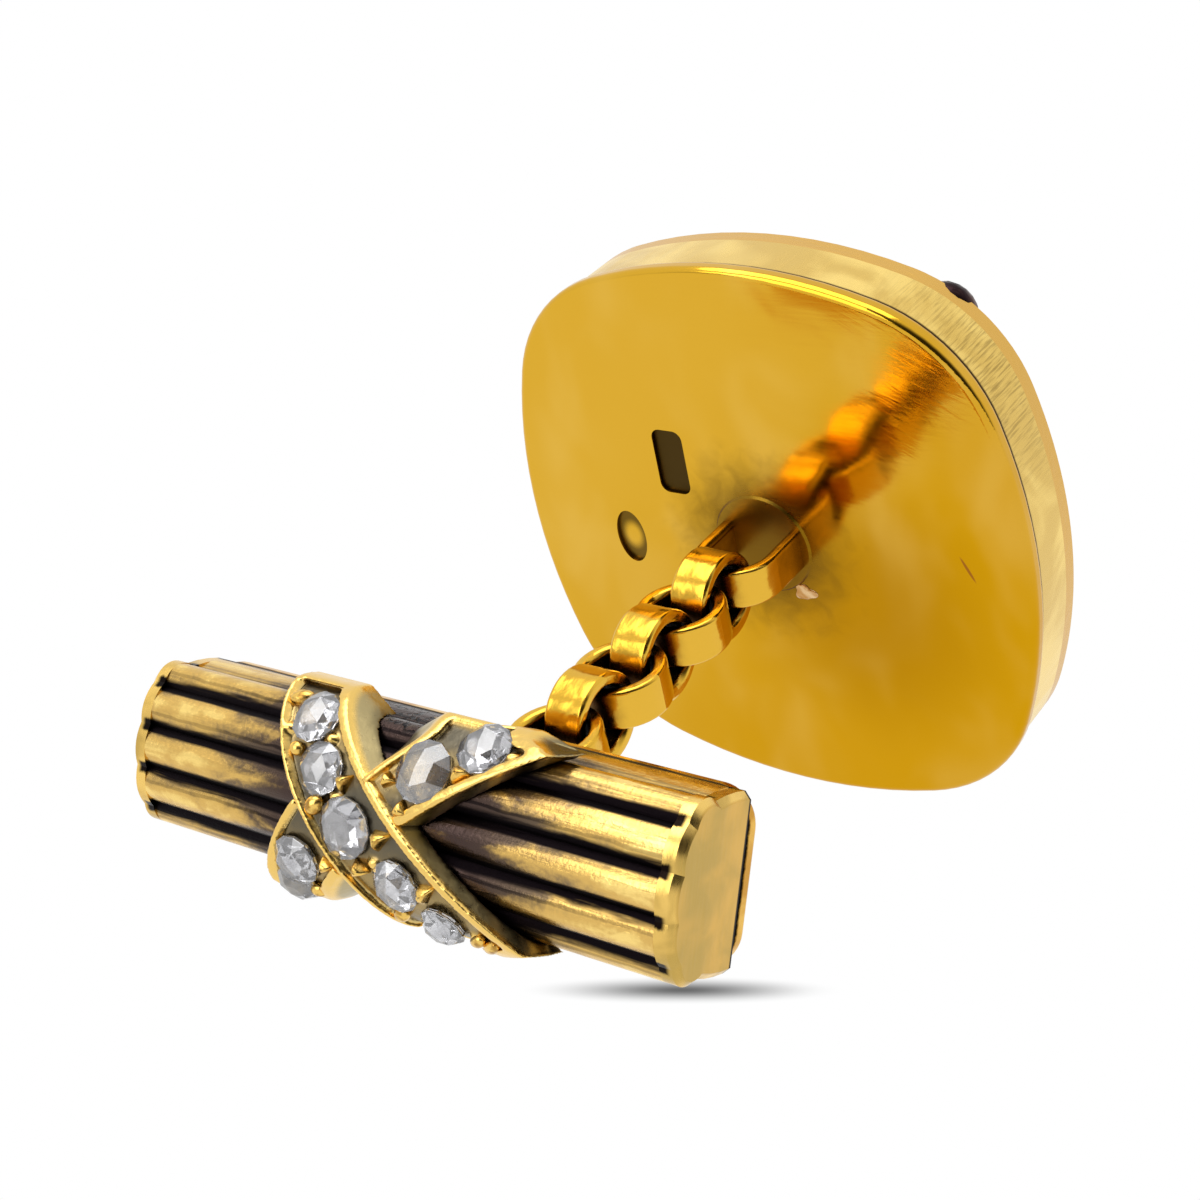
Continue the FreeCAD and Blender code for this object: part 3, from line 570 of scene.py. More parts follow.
@dataclass(frozen=True)
class PlateGold(Finish):
    """The head's polished back: a painted gradient of light and shade, a painted dark reflection and a stain
    with painted shade round the shank, fine lines, dark punch marks and a dark seam.
    """

    name: str = "plate_gold"
    # light and deep are the two ends of a painted gradient, lighter toward one corner of the plate and
    # darker toward the other
    light: Colour = tint(221, 172, 50)
    deep: Colour = tint(208, 153, 8)
    pale: Colour = tint(240, 202, 106)
    # the colour of a painted dark reflection beside the shank
    painted_reflection_dark: Colour = tint(176, 122, 2)
    # a stain round the shank that also serves as painted shade under the chain
    stain: Colour = tint(92, 64, 16)
    pit: Colour = tint(50, 36, 14)
    seam: Colour = tint(74, 52, 14)
    scratch: Colour = tint(140, 70, 34)
    painted_gradient_span: Span = (-6.0, 11.0)
    painted_reflection_at: Spot = (3.0, 1.6, 0.0)
    painted_reflection_reach: Span = (6.5, 2.0)
    stain_and_shade_reach: Span = (4.4, 1.6)
    mark_levels: Span = (0.02, 0.07)
    mark_reach: Span = (7.6, 7.0)
    oblong_from: Span = (-4.0, -3.9)
    oval_at: Spot = (-4.81, 0.56, 0.0)
    oval_scale: Spot = (1.35, 1.0, 0.0)
    oval_reach: Span = (0.2, 0.6)
    seam_levels: Span = (0.44, 0.55)
    hatch_at: Spot = (6.0, -0.5, 0.0)
    hatch_turn: Spot = (0.0, 0.0, math.radians(25))
    hatch_from: Span = (2.5, 6.5)
    scratch_at: Spot = (6.57, -0.29, 0.0)
    scratch_turn: Spot = (0.0, 0.0, math.radians(62))
    scratch_scale: Spot = (1.0, 9.0, 0.0)
    scratch_reach: Span = (0.5, 0.3)

    def polished(self, shader: Shader, coords: Field) -> Field:
        """The colour of the clean plate, with a painted gradient of light and shade and a painted dark
        reflection.

        Args:
            shader: the material's shader.
            coords: coordinates in millimetres.

        Returns:
            The colour.
        """
        # painted gradient: lighter toward one corner of the plate and darker toward the other, as light
        # falls on it
        slope = shader.axis(coords, "X") + shader.axis(coords, "Y")
        slope = slope + shader.noise(coords, 0.25, 2.0, 0.5) * 6.0
        colour = shader.blend(self.light, self.deep, shader.ease(slope, *self.painted_gradient_span))
        cloud = shader.noise(shader.stretched(coords, (1.0, 0.6, 1.0)), 0.35, 2.0, 0.4)
        colour = shader.blend(colour, self.pale, shader.ease(cloud, 0.4, 0.8) * 0.3)
        # painted reflection: a dark patch beside the shank stands in for what the polished plate mirrors
        # there
        shade = shader.ease(shader.away(coords, self.painted_reflection_at) + cloud * 2.0, *self.painted_reflection_reach)
        return shader.blend(colour, self.painted_reflection_dark, shade * 0.7)

    def sunk(self, shader: Shader, coords: Field, far: Field) -> Field:
        """How dark a spot is as the floor of a punch mark.

        Args:
            shader: the material's shader.
            coords: coordinates in millimetres.
            far: the distance from the plate's middle.

        Returns:
            The share of the dark colour.
        """
        marked = shader.ease(shader.axis(coords, "Z"), *self.mark_levels)
        marked = marked * shader.ease(far, *self.mark_reach)
        oblong = shader.ease(shader.axis(coords, "X"), *self.oblong_from)
        oval = shader.oval(coords, self.oval_at, (0.0, 0.0, 0.0), self.oval_scale)
        oval = shader.ease(oval, *self.oval_reach)
        return marked * (oblong * 0.95 + oval * 0.8).least(0.95)

    def hatched(self, shader: Shader, coords: Field) -> Field:
        """The height of the slanting hatches near the plate's right edge.

        Args:
            shader: the material's shader.
            coords: coordinates in millimetres.

        Returns:
            The height.
        """
        slanted = shader.turned(coords, self.hatch_at, self.hatch_turn)
        lines = shader.streaks(slanted, (1.0, 6.5, 1.0), 2.0, 0.4)
        return lines * shader.ease(shader.axis(coords, "X"), *self.hatch_from)

    def paint(self, shader: Shader) -> None:
        """Builds the nodes.

        Args:
            shader: the material's shader.
        """
        coords = shader.millimetres()
        far = shader.away(shader.stretched(coords, (1.0, 1.0, 0.0)))
        lines = shader.streaks(coords, (0.6, 10.0, 10.0), 4.0, 0.2)
        soot = shader.noise(coords, 1.3, 4.0, 0.7)
        # the halo round the shank: a stain, darkened further as painted shade under the chain
        halo = shader.ease(far + soot * 1.6, *self.stain_and_shade_reach)
        sunk = self.sunk(shader, coords, far)
        groove = shader.ease(shader.axis(coords, "Z"), *self.seam_levels)
        nick = shader.oval(coords, self.scratch_at, self.scratch_turn, self.scratch_scale)
        colour = shader.blend(self.polished(shader, coords), self.stain, halo * 0.82)
        colour = shader.blend(colour, self.pit, sunk)
        colour = shader.blend(colour, self.seam, groove)
        colour = shader.blend(colour, self.scratch, shader.ease(nick, *self.scratch_reach) * 0.7)
        rough = shader.span(lines, 0.06, 0.17) + halo * 0.2 + sunk * 0.3 + groove * 0.2
        normal = shader.bump(shader.noise(coords, 0.5, 1.0, 0.3), 0.03)
        normal = shader.bump(self.hatched(shader, coords), 0.005, normal)
        normal = shader.bump(lines + soot * halo * 6.0, 0.0007, normal)
        shader.metal(colour, rough, normal)


@dataclass(frozen=True)
class WallGold(Finish):
    """Satin gold of the head's side wall, hatched by a file, with a dark seam at the plate."""

    name: str = "wall_gold"
    pale: Colour = tint(252, 219, 126)
    olive: Colour = tint(226, 190, 100)
    streaked_dark: Colour = tint(112, 84, 34)
    seam: Colour = tint(60, 42, 12)
    streaked_dark_at: Spot = (7.0, -5.6, 1.9)
    streaked_dark_reach: Span = (4.6, 0.6)
    seam_levels: Span = (0.73, 0.65)

    def paint(self, shader: Shader) -> None:
        """Builds the nodes.

        Args:
            shader: the material's shader.
        """
        coords = shader.millimetres()
        cloud = shader.noise(coords, 0.35, 3.0, 0.8)
        file_marks = shader.streaks(coords, (5.0, 5.0, 0.9), 4.0, 0.3)
        fine = shader.streaks(coords, (16.0, 16.0, 1.2), 2.0, 0.3)
        # darker streaks that fade out round one spot of the wall
        dull = shader.ease(shader.away(coords, self.streaked_dark_at), *self.streaked_dark_reach)
        dull = dull * shader.ease(fine, 0.4, 0.7)
        groove = shader.ease(shader.axis(coords, "Z"), *self.seam_levels)
        colour = shader.blend(self.pale, self.olive, shader.ease(cloud, 0.38, 0.64))
        colour = shader.blend(colour, self.streaked_dark, dull * 0.5)
        colour = shader.blend(colour, self.seam, groove)
        rough = shader.span(file_marks, 0.16, 0.36) + groove * 0.2
        normal = shader.bump(shader.noise(coords, 0.5, 1.0, 0.3), 0.012)
        shader.metal(colour, rough, shader.bump(file_marks, 0.004, normal))


@dataclass(frozen=True)
class FaceGold(Finish):
    """The head's reeded face: dark in the grooves, worn gold on the reeds."""

    name: str = "face_gold"
    crest: Colour = tint(222, 176, 88)
    flank: Colour = tint(120, 90, 52)
    groove: Colour = tint(26, 18, 20)
    groove_levels: Span = (2.6, 2.5)
    crest_levels: Span = (2.7, 2.79)

    def paint(self, shader: Shader) -> None:
        """Builds the nodes.

        Args:
            shader: the material's shader.
        """
        coords = shader.millimetres()
        streak = shader.streaks(coords, (0.5, 5.0, 5.0), 4.0, 0.6)
        level = shader.axis(coords, "Z") + (streak - 0.5) * 0.08
        front = shader.ease(shader.facing("Z"), 0.15, 0.4)
        dark = shader.ease(level, *self.groove_levels) * front
        worn = shader.ease(level + shader.noise(coords, 0.9, 3.0, 0.8) * 0.16, *self.crest_levels)
        colour = shader.blend(self.flank, self.crest, worn.most(1.0 - front))
        colour = shader.blend(colour, self.groove, dark)
        rough = shader.span(streak, 0.2, 0.34) + dark * 0.3
        shader.metal(colour, rough, shader.bump(streak, 0.012))


@dataclass(frozen=True)
class ChainGold(Finish):
    """Bright gold, brown to black in the hollows and where the rings rub: painted shade there, and the dirt
    that they hold.
    """

    name: str = "chain_gold"
    bright: Colour = tint(228, 180, 62)
    brown: Colour = tint(146, 102, 34)
    black: Colour = tint(34, 24, 12)
    hollow_reach: float = 1.6
    brown_below: Span = (0.74, 0.46)
    shade_and_grime_below: Span = (0.48, 0.2)

    def paint(self, shader: Shader) -> None:
        """Builds the nodes.

        Args:
            shader: the material's shader.
        """
        coords = shader.millimetres()
        # painted shade: how open each spot is darkens it brown, then black, in the hollows and between the
        # rings, where dirt sits too
        sky = shader.open_sky(self.hollow_reach) + shader.noise(coords, 2.2, 3.0, 0.4) * 0.24 - 0.12
        shade_and_grime = shader.ease(sky, *self.shade_and_grime_below)
        colour = shader.blend(self.bright, self.brown, shader.ease(sky, *self.brown_below))
        colour = shader.blend(colour, self.black, shade_and_grime)
        scratch = shader.streaks(coords, (8.0, 8.0, 2.0), 4.0, 0.4)
        rough = shader.span(scratch, 0.08, 0.26) + shade_and_grime * 0.2
        normal = shader.bump(shader.noise(coords, 1.6, 1.0, 0.3), 0.03)
        shader.metal(colour, rough, shader.bump(scratch, 0.004, normal))


@dataclass(frozen=True)
class AntiqueGold(Finish):
    """The bar's darkened gold: black grooves, purple-brown flanks and crests rubbed bright at the ends."""

    shape: BarShape
    name: str = "antique_gold"
    crest: Colour = tint(220, 180, 100)
    bright: Colour = tint(252, 218, 130)
    flank: Colour = tint(122, 104, 80)
    shade: Colour = tint(72, 58, 54)
    groove: Colour = tint(18, 13, 16)
    groove_half: Span = (0.26, 0.15)
    line_at: float = 0.31
    line_half: Span = (0.05, 0.02)
    ends_from: Span = (2.4, 6.4)
    crest_wear: Span = (1.04, 1.52)
    bright_wear: Span = (1.5, 1.8)
    pits_across: Span = (-1.85, -1.98)
    pits_along: Span = (2.6, 1.8)

    def paint(self, shader: Shader) -> None:
        """Builds the nodes.

        Args:
            shader: the material's shader.
        """
        bar = BarCoords(shader, self.shape)
        out = bar.along.absolute()
        streak = shader.streaks(bar.place, (0.5, 6.0, 6.0), 4.0, 0.6)
        patch = shader.streaks(bar.place, (0.9, 1.7, 1.7), 3.0, 0.8)
        speck = shader.noise(bar.place, 9.0, 3.0, 0.2)
        ragged = bar.groove + (streak - 0.5) * 0.2
        dark = shader.ease(ragged, *self.groove_half)
        line = (bar.phase + (patch - 0.5) * 0.12 - self.line_at).absolute()
        line = shader.ease(line, *self.line_half) * 0.8
        ends = shader.ease(out, *self.ends_from)
        wear = ragged * 0.9 + patch * 0.9 + speck * 0.25 + ends * 0.62
        worn = shader.ease(wear, *self.crest_wear)
        pits = shader.ease(bar.across, *self.pits_across) * shader.ease(out, *self.pits_along)
        pits = pits * shader.ease(shader.noise(bar.place, 5.5, 2.0, 0.3), 0.53, 0.6)
        colour = shader.blend(shader.blend(self.shade, self.flank, ends), self.crest, worn)
        colour = shader.blend(colour, self.bright, shader.ease(wear, *self.bright_wear) * ends)
        colour = shader.blend(colour, self.groove, dark.most(line * (1.0 - ends * 0.6)))
        colour = shader.blend(colour, self.groove, pits)
        rough = shader.span(speck, 0.2, 0.34) + dark * 0.25 - worn * 0.05
        normal = shader.bump(streak, 0.02)
        shader.metal(colour, rough, shader.bump(speck - pits * 3.0, 0.008, normal))


@dataclass(frozen=True)
class EndGold(Finish):
    """The bar's end plates: brushed satin faces, bright worn edges and dark reed ends."""

    shape: BarShape
    name: str = "end_gold"
    face: Colour = tint(224, 180, 92)
    green: Colour = tint(196, 164, 86)
    edge: Colour = tint(244, 204, 112)
    dark: Colour = tint(22, 15, 12)
    edge_inset: Span = (0.01, 0.06)
    reed_inset: Span = (0.2, 0.34)
    reed_half: Span = (0.2, 0.12)
    slit_levels: Span = (-0.09, -0.04)

    def paint(self, shader: Shader) -> None:
        """Builds the nodes.

        Args:
            shader: the material's shader.
        """
        bar = BarCoords(shader, self.shape)
        inset = self.shape.half_long - bar.along.absolute()
        cloud = shader.noise(bar.place, 0.7, 3.0, 0.4)
        brush = shader.streaks(bar.place, (9.0, 0.8, 9.0), 4.0, 0.2)
        side = shader.ease(inset, *self.edge_inset)
        reed_end = shader.ease(bar.groove + (brush - 0.5) * 0.12, *self.reed_half)
        reed_end = reed_end * shader.ease(inset, *self.reed_inset)
        slit = shader.ease(bar.depth - self.shape.back_level, *self.slit_levels)
        colour = shader.blend(self.face, self.green, shader.ease(cloud, 0.34, 0.68))
        colour = shader.blend(colour, self.edge, side * shader.ease(cloud, 0.62, 0.4))
        colour = shader.blend(colour, self.dark, reed_end.most(slit))
        rough = shader.span(brush, 0.24, 0.44) - side * 0.1
        normal = shader.bump(cloud, 0.02)
        shader.metal(colour, rough, shader.bump(brush, 0.006, normal))


@dataclass(frozen=True)
class BackGold(Finish):
    """The bar's back plate: bright rubbed gold with a dark slit where it meets the shell."""

    shape: BarShape
    name: str = "back_gold"
    bright: Colour = tint(238, 190, 88)
    deep: Colour = tint(206, 150, 52)
    slit: Colour = tint(18, 12, 8)
    slit_levels: Span = (0.15, 0.07)

    def paint(self, shader: Shader) -> None:
        """Builds the nodes.

        Args:
            shader: the material's shader.
        """
        bar = BarCoords(shader, self.shape)
        cloud = shader.noise(bar.place, 0.8, 3.0, 0.6)
        lines = shader.streaks(bar.place, (0.6, 8.0, 8.0), 4.0, 0.2)
        level = bar.depth - self.shape.back_level + (lines - 0.5) * 0.1
        gap = shader.ease(level, *self.slit_levels)
        colour = shader.blend(self.bright, self.deep, shader.ease(cloud, 0.4, 0.62))
        colour = shader.blend(colour, self.slit, gap)
        rough = shader.span(lines, 0.1, 0.26) + gap * 0.3
        normal = shader.bump(cloud, 0.03)
        shader.metal(colour, rough, shader.bump(lines, 0.004, normal))


@dataclass(frozen=True)
class RibbonGold(Finish):
    """Ribbon gold: bright on the rims, greenish grey in the sunk beds and on the sloping walls."""

    shape: BarShape
    name: str = "ribbon_gold"
    rim: Colour = tint(242, 202, 112)
    wall: Colour = tint(190, 172, 122)
    bed: Colour = tint(98, 92, 78)
    foot: Colour = tint(84, 72, 50)
    rim_share: Span = (0.68, 0.95)
    foot_share: Span = (0.1, 0.7)

    def lie(self, shader: Shader) -> tuple[Field, Field]:
        """Where a spot lies on the bar's ribbon.

        Args:
            shader: the shader that takes the nodes.

        Returns:
            How high it is, from 0 at the foot to 1 on the rim, and how much of a wall it is.
        """
        high = BarCoords(shader, self.shape).height / self.shape.strap_high
        return high, shader.ease(shader.facing("X"), 0.3, 0.6)

    def paint(self, shader: Shader) -> None:
        """Builds the nodes.

        Args:
            shader: the material's shader.
        """
        coords = shader.millimetres()
        high, wall = self.lie(shader)
        speck = shader.noise(coords, 6.0, 3.0, 0.3)
        cloud = shader.noise(coords, 1.6, 3.0, 0.5)
        high = high + (speck - 0.5) * 0.04
        bare = shader.ease(high, *self.rim_share)
        side = shader.blend(self.foot, self.wall, shader.ease(high + cloud * 0.4, *self.foot_share))
        colour = shader.blend(self.bed, side, wall)
        colour = shader.blend(colour, self.rim, bare)
        rough = shader.span(speck, 0.2, 0.42) - bare * 0.1
        normal = shader.bump(cloud, 0.02)
        shader.metal(colour, rough, shader.bump(speck, 0.005, normal))


@dataclass(frozen=True)
class HeadRibbonGold(RibbonGold):
    """The same gold on the head's flat ribbon."""

    name: str = "head_ribbon_gold"
    face_top: float = 2.7
    strap_high: float = 0.95

    def lie(self, shader: Shader) -> tuple[Field, Field]:
        """Where a spot lies on the head's ribbon, as the bar's ribbon says it."""
        level = shader.axis(shader.millimetres(), "Z")
        return (level - self.face_top) / self.strap_high, shader.ease(shader.facing("Z"), 0.7, 0.4)


@dataclass(frozen=True)
class GrainGold(Finish):
    """Bright little grains and claws that hold the stones."""

    name: str = "grain_gold"
    bright: Colour = tint(240, 198, 104)
    dull: Colour = tint(176, 134, 62)

    def paint(self, shader: Shader) -> None:
        """Builds the nodes.

        Args:
            shader: the material's shader.
        """
        cloud = shader.noise(shader.millimetres(), 4.0, 3.0, 0.4)
        colour = shader.blend(self.bright, self.dull, shader.ease(cloud, 0.42, 0.66))
        shader.metal(colour, shader.span(cloud, 0.12, 0.34), shader.bump(cloud, 0.02))


@dataclass(frozen=True)
class CloudedMetal(Finish):
    """Dull metal in two tones, such as solder that has flowed and set unevenly or an old patina."""

    name: str
    pale: Colour
    stain: Colour

    def paint(self, shader: Shader) -> None:
        """Builds the nodes.

        Args:
            shader: the material's shader.
        """
        flow = shader.noise(shader.millimetres(), 1.5, 3.0, 0.8)
        colour = shader.blend(self.pale, self.stain, shader.ease(flow, 0.4, 0.62))
        shader.metal(colour, shader.span(flow, 0.16, 0.42), shader.bump(flow, 0.06))


@dataclass(frozen=True)
class RoseStone(Finish):
    """A clear grey-white stone, a little veiled inside, over a foil that throws light back."""

    name: str = "rose_stone"
    clear: Colour = tint(240, 240, 244)
    veil: Colour = tint(184, 184, 188)
    bending: float = 2.3
    clearness: float = 0.9
    polish: float = 0.02
    foil: float = 0.02
    foil_roughness: float = 0.08

    def paint(self, shader: Shader) -> None:
        """Builds the nodes.

        Args:
            shader: the material's shader.
        """
        cloud = shader.noise(shader.millimetres(), 1.9, 3.0, 0.6)
        colour = shader.blend(self.clear, self.veil, shader.ease(cloud, 0.42, 0.66))
        stone = shader.node(
            "ShaderNodeBsdfPrincipled",
            inputs={
                "Base Color": colour,
                "Roughness": self.polish,
                "IOR": self.bending,
                "Transmission Weight": self.clearness,
            },
        )
        mirror = shader.node(
            "ShaderNodeBsdfGlossy", inputs={"Color": colour, "Roughness": self.foil_roughness}
        )
        shader.surface(shader.mixed(stone, mirror, self.foil))


def dress(piece: bpy.types.Object, material: bpy.types.Material) -> None:
    """Gives every face of a piece one material."""
    piece.data.materials.clear()
    piece.data.materials.append(material)


def deselect() -> None:
    """Leaves nothing selected, in object mode."""
    if bpy.context.mode != "OBJECT":
        bpy.ops.object.mode_set(mode="OBJECT")
    bpy.ops.object.select_all(action="DESELECT")


def edit_all() -> None:
    """Enters edit mode with everything selected."""
    bpy.ops.object.mode_set(mode="EDIT")
    bpy.ops.mesh.select_all(action="SELECT")


def link(thing: bpy.types.Object) -> None:
    """Puts an object into the scene."""
    bpy.context.scene.collection.objects.link(thing)


def call(piece: bpy.types.Object, name: str) -> None:
    """Names a piece and its mesh."""
    piece.name = name
    piece.data.name = name


def turn_to(way: Vector) -> Matrix:
    """The turn that points Z along a direction."""
    return way.to_track_quat("Z", "Y").to_matrix().to_4x4()


def work_in(piece: bpy.types.Object, kind: str, **settings: Any) -> None:
    """Works one modifier into the active piece's mesh.

    Args:
        piece: the piece.
        kind: the modifier's type name.
        **settings: the modifier's own settings.
    """
    modifier = piece.modifiers.new(kind.lower(), kind)
    for key, value in settings.items():
        setattr(modifier, key, value)
    bpy.ops.object.modifier_apply(modifier=modifier.name)


def finish_piece(piece: bpy.types.Object, material: bpy.types.Material, body: str) -> None:
    """Dresses a new piece and lets it ride.

    Args:
        piece: the piece.
        material: its finish.
        body: the body that carries it.
    """
    dress(piece, material)
    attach(piece, body)
    LOG.info("%s: %s on %s, %d faces", piece.name, material.name, body, len(piece.data.polygons))


@dataclass(frozen=True)
class StoneSeat:
    """Where a stone stands and how large it is, read from its solid."""

    foot: Vector
    axis: Vector
    radius: float
    high: float

    @classmethod
    def of(cls, node: bpy.types.Object) -> "StoneSeat":
        """Reads a stone's solid: its point is the corner nearest to the middle of all its corners.

        Args:
            node: the solid's object.

        Returns:
            The seat.
        """
        corners = {tuple(round(value / MM, 4) for value in vertex.co) for vertex in node.data.vertices}
        spots = [Vector(corner) * MM for corner in sorted(corners)]
        middle = sum(spots, Vector()) / len(spots)
        point = min(spots, key=lambda spot: (spot - middle).length)
        axis = (point - middle).normalized()
        high = max((point - spot).dot(axis) for spot in spots)
        foot = point - axis * high
        radius = max((spot - foot - axis * (spot - foot).dot(axis)).length for spot in spots)
        return cls(foot, axis, radius, high)


@dataclass(frozen=True)
class RoseCut:
    """A rose-cut stone: a girdle of twelve, a ring of six and a point, with three-sided facets."""

    swell: float
    sides: int = 12
    foot_radius: float = 0.97
    girdle_share: float = 0.26
    crown_radius: float = 0.6
    crown_high: float = 0.84
    point_share: float = 0.02
    soft_share: float = 0.03
    flat_limit: float = 0.01

    def build(self, name: str, seat: StoneSeat, spin: float) -> bpy.types.Object:
        """Models one stone on its seat.

        Args:
            name: the piece's name.
            seat: where it stands.
            spin: its turn about its own axis, in radians.

        Returns:
            The stone.
        """
        deselect()
        radius = seat.radius * self.swell
        half_step = math.pi / self.sides
        rings = [
            (self.sides, radius, seat.high * self.girdle_share, 0.0),
            (self.sides // 2, radius * self.crown_radius, seat.high * self.crown_high, half_step),
        ]
        bpy.ops.mesh.primitive_circle_add(vertices=self.sides, radius=radius * self.foot_radius)
        stone = bpy.context.object
        call(stone, name)
        bpy.ops.object.mode_set(mode="EDIT")
        for sides, wide, level, turn in rings:
            bpy.ops.mesh.primitive_circle_add(
                vertices=sides, radius=wide, location=(0, 0, level), rotation=(0, 0, turn)
            )
        bpy.ops.mesh.primitive_circle_add(
            vertices=3, radius=seat.high * self.point_share, location=(0, 0, seat.high)
        )
        bpy.ops.mesh.merge(type="CENTER")
        bpy.ops.mesh.select_all(action="SELECT")
        bpy.ops.mesh.convex_hull(
            join_triangles=True, face_threshold=self.flat_limit, shape_threshold=self.flat_limit
        )
        bpy.ops.mesh.normals_make_consistent(inside=False)
        bpy.ops.object.mode_set(mode="OBJECT")
        place = Matrix.Translation(seat.foot) @ turn_to(seat.axis)
        stone.data.transform(place @ Matrix.Rotation(spin, 4, "Z"))
        work_in(stone, "BEVEL", width=seat.radius * self.soft_share, segments=1)
        return stone


@dataclass(frozen=True)
class WornCasting:
    """A solid's copy as a worn casting, with its edges rubbed round."""

    grid: float
    passes: int = 14
    rub: float = 0.5
    weld: float = 0.0005

    def build(self, name: str, node: bpy.types.Object) -> bpy.types.Object:
        """Copies a solid and rubs it.

        Args:
            name: the new piece's name.
            node: the solid's object.

        Returns:
            The casting, its mesh in millimetres.
        """
        deselect()
        piece = bpy.data.objects.new(name, node.data.copy())
        piece.data.name = name
        link(piece)
        bpy.context.view_layer.objects.active = piece
        piece.select_set(True)
        piece.data.transform(Matrix.Scale(1 / MM, 4))
        edit_all()
        bpy.ops.mesh.remove_doubles(threshold=self.weld)
        bpy.ops.object.mode_set(mode="OBJECT")
        work_in(piece, "REMESH", mode="VOXEL", voxel_size=self.grid)
        work_in(piece, "SMOOTH", factor=self.rub, iterations=self.passes)
        bpy.ops.object.shade_smooth()
        return piece


class GrainKind(Enum):
    """The two kinds of small metal that hold the stones."""

    BEAD = "bead"
    CLAW = "claw"


@dataclass(frozen=True)
class Grain:
    """One bead or claw: its kind, its place along and across the ribbon, its size and its turn."""

    kind: GrainKind
    along: float = 0.0
    across: float = 0.0
    radius: float = 0.2
    long: float = 1.0
    spin: float = 0.0


class GrainPress:
    """Models the beads and claws once and sets copies of them."""

    def __init__(self) -> None:
        """Models one bead and one claw, a unit in radius."""
        self.models = {GrainKind.BEAD: self.bead(), GrainKind.CLAW: self.claw()}

    def bead(self) -> bpy.types.Mesh:
        """A round bead with a flattened top.

        Returns:
            Its mesh.
        """
        deselect()
        bpy.ops.mesh.primitive_uv_sphere_add(segments=16, ring_count=10, radius=1.0)
        edit_all()
        bpy.ops.transform.resize(value=(1.0, 0.92, 0.8))
        return self.take()

    def claw(self) -> bpy.types.Mesh:
        """A three-sided claw with soft edges.

        Returns:
            Its mesh.
        """
        deselect()
        bpy.ops.mesh.primitive_cone_add(vertices=3, radius1=1.25, radius2=0.55, depth=1.4)
        edit_all()
        bpy.ops.mesh.bevel(offset=0.3, segments=4, affect="EDGES")
        bpy.ops.mesh.normals_make_consistent(inside=False)
        return self.take()

    def take(self) -> bpy.types.Mesh:
        """Takes the active object's mesh, smooth, and removes the object.

        Returns:
            The mesh.
        """
        bpy.ops.object.mode_set(mode="OBJECT")
        bpy.ops.object.shade_smooth()
        made = bpy.context.object
        mesh = made.data
        bpy.data.objects.remove(made)
        return mesh

    def set(self, name: str, grains: list[Grain], seats: list[Matrix]) -> bpy.types.Object:
        """Sets copies and joins them to one piece.

        Args:
            name: the piece's name.
            grains: the beads and claws.
            seats: the frame of each, in millimetres.

        Returns:
            The piece.
        """
        deselect()
        made = []
        for grain, seat in zip(grains, seats):
            piece = bpy.data.objects.new(name, self.models[grain.kind].copy())
            size = Matrix.Diagonal((grain.radius * grain.long, grain.radius, grain.radius, 1.0))
            piece.data.transform(Matrix.Scale(MM, 4) @ seat @ size)
            link(piece)
            piece.select_set(True)
            made.append(piece)
        bpy.context.view_layer.objects.active = made[0]
        bpy.ops.object.join()
        call(made[0], name)
        return made[0]


@dataclass
class Ornament:
    """What a body carries on its ornamented side: rose-cut stones and a worn ribbon in three parts."""

    nodes: dict[str, bpy.types.Object]
    shape: BarShape
    body: str
    cut: RoseCut
    casting: WornCasting
    stones: int = 9
    stone_turn: float = 0.7
    ribbon: tuple[str, ...] = ("over", "right", "left")

    def set_stones(self, finish: bpy.types.Material) -> None:
        """Models the faceted stones.

        Args:
            finish: their material.
        """
        for number in range(1, self.stones + 1):
            node = f"{self.body}_stone_{number}"
            seat = StoneSeat.of(self.nodes[node])
            stone = self.cut.build(f"{self.body}_rose_{number}", seat, spin=number * self.stone_turn)
            finish_piece(stone, finish, self.body)
            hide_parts(node)

    def work(self, word: str, piece: bpy.types.Object) -> None:
        """Shapes one rubbed part of the ribbon further, where a body needs that."""

    def set_ribbon(self, finish: bpy.types.Material) -> None:
        """Rubs the parts of the ribbon.

        Args:
            finish: their material.
        """
        for word in self.ribbon:
            node = f"{self.body}_ribbon_{word}"
            piece = self.casting.build(f"{self.body}_strap_{word}", self.nodes[node])
            self.work(word, piece)
            piece.data.transform(Matrix.Scale(MM, 4))
            finish_piece(piece, finish, self.body)
            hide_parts(node)


@dataclass(frozen=True)
class Drop:
    """One drop of solder on the plate: its name, its place, its half sizes and its finish."""

    name: str
    spot: Span
    size: Spot
    finish: Finish


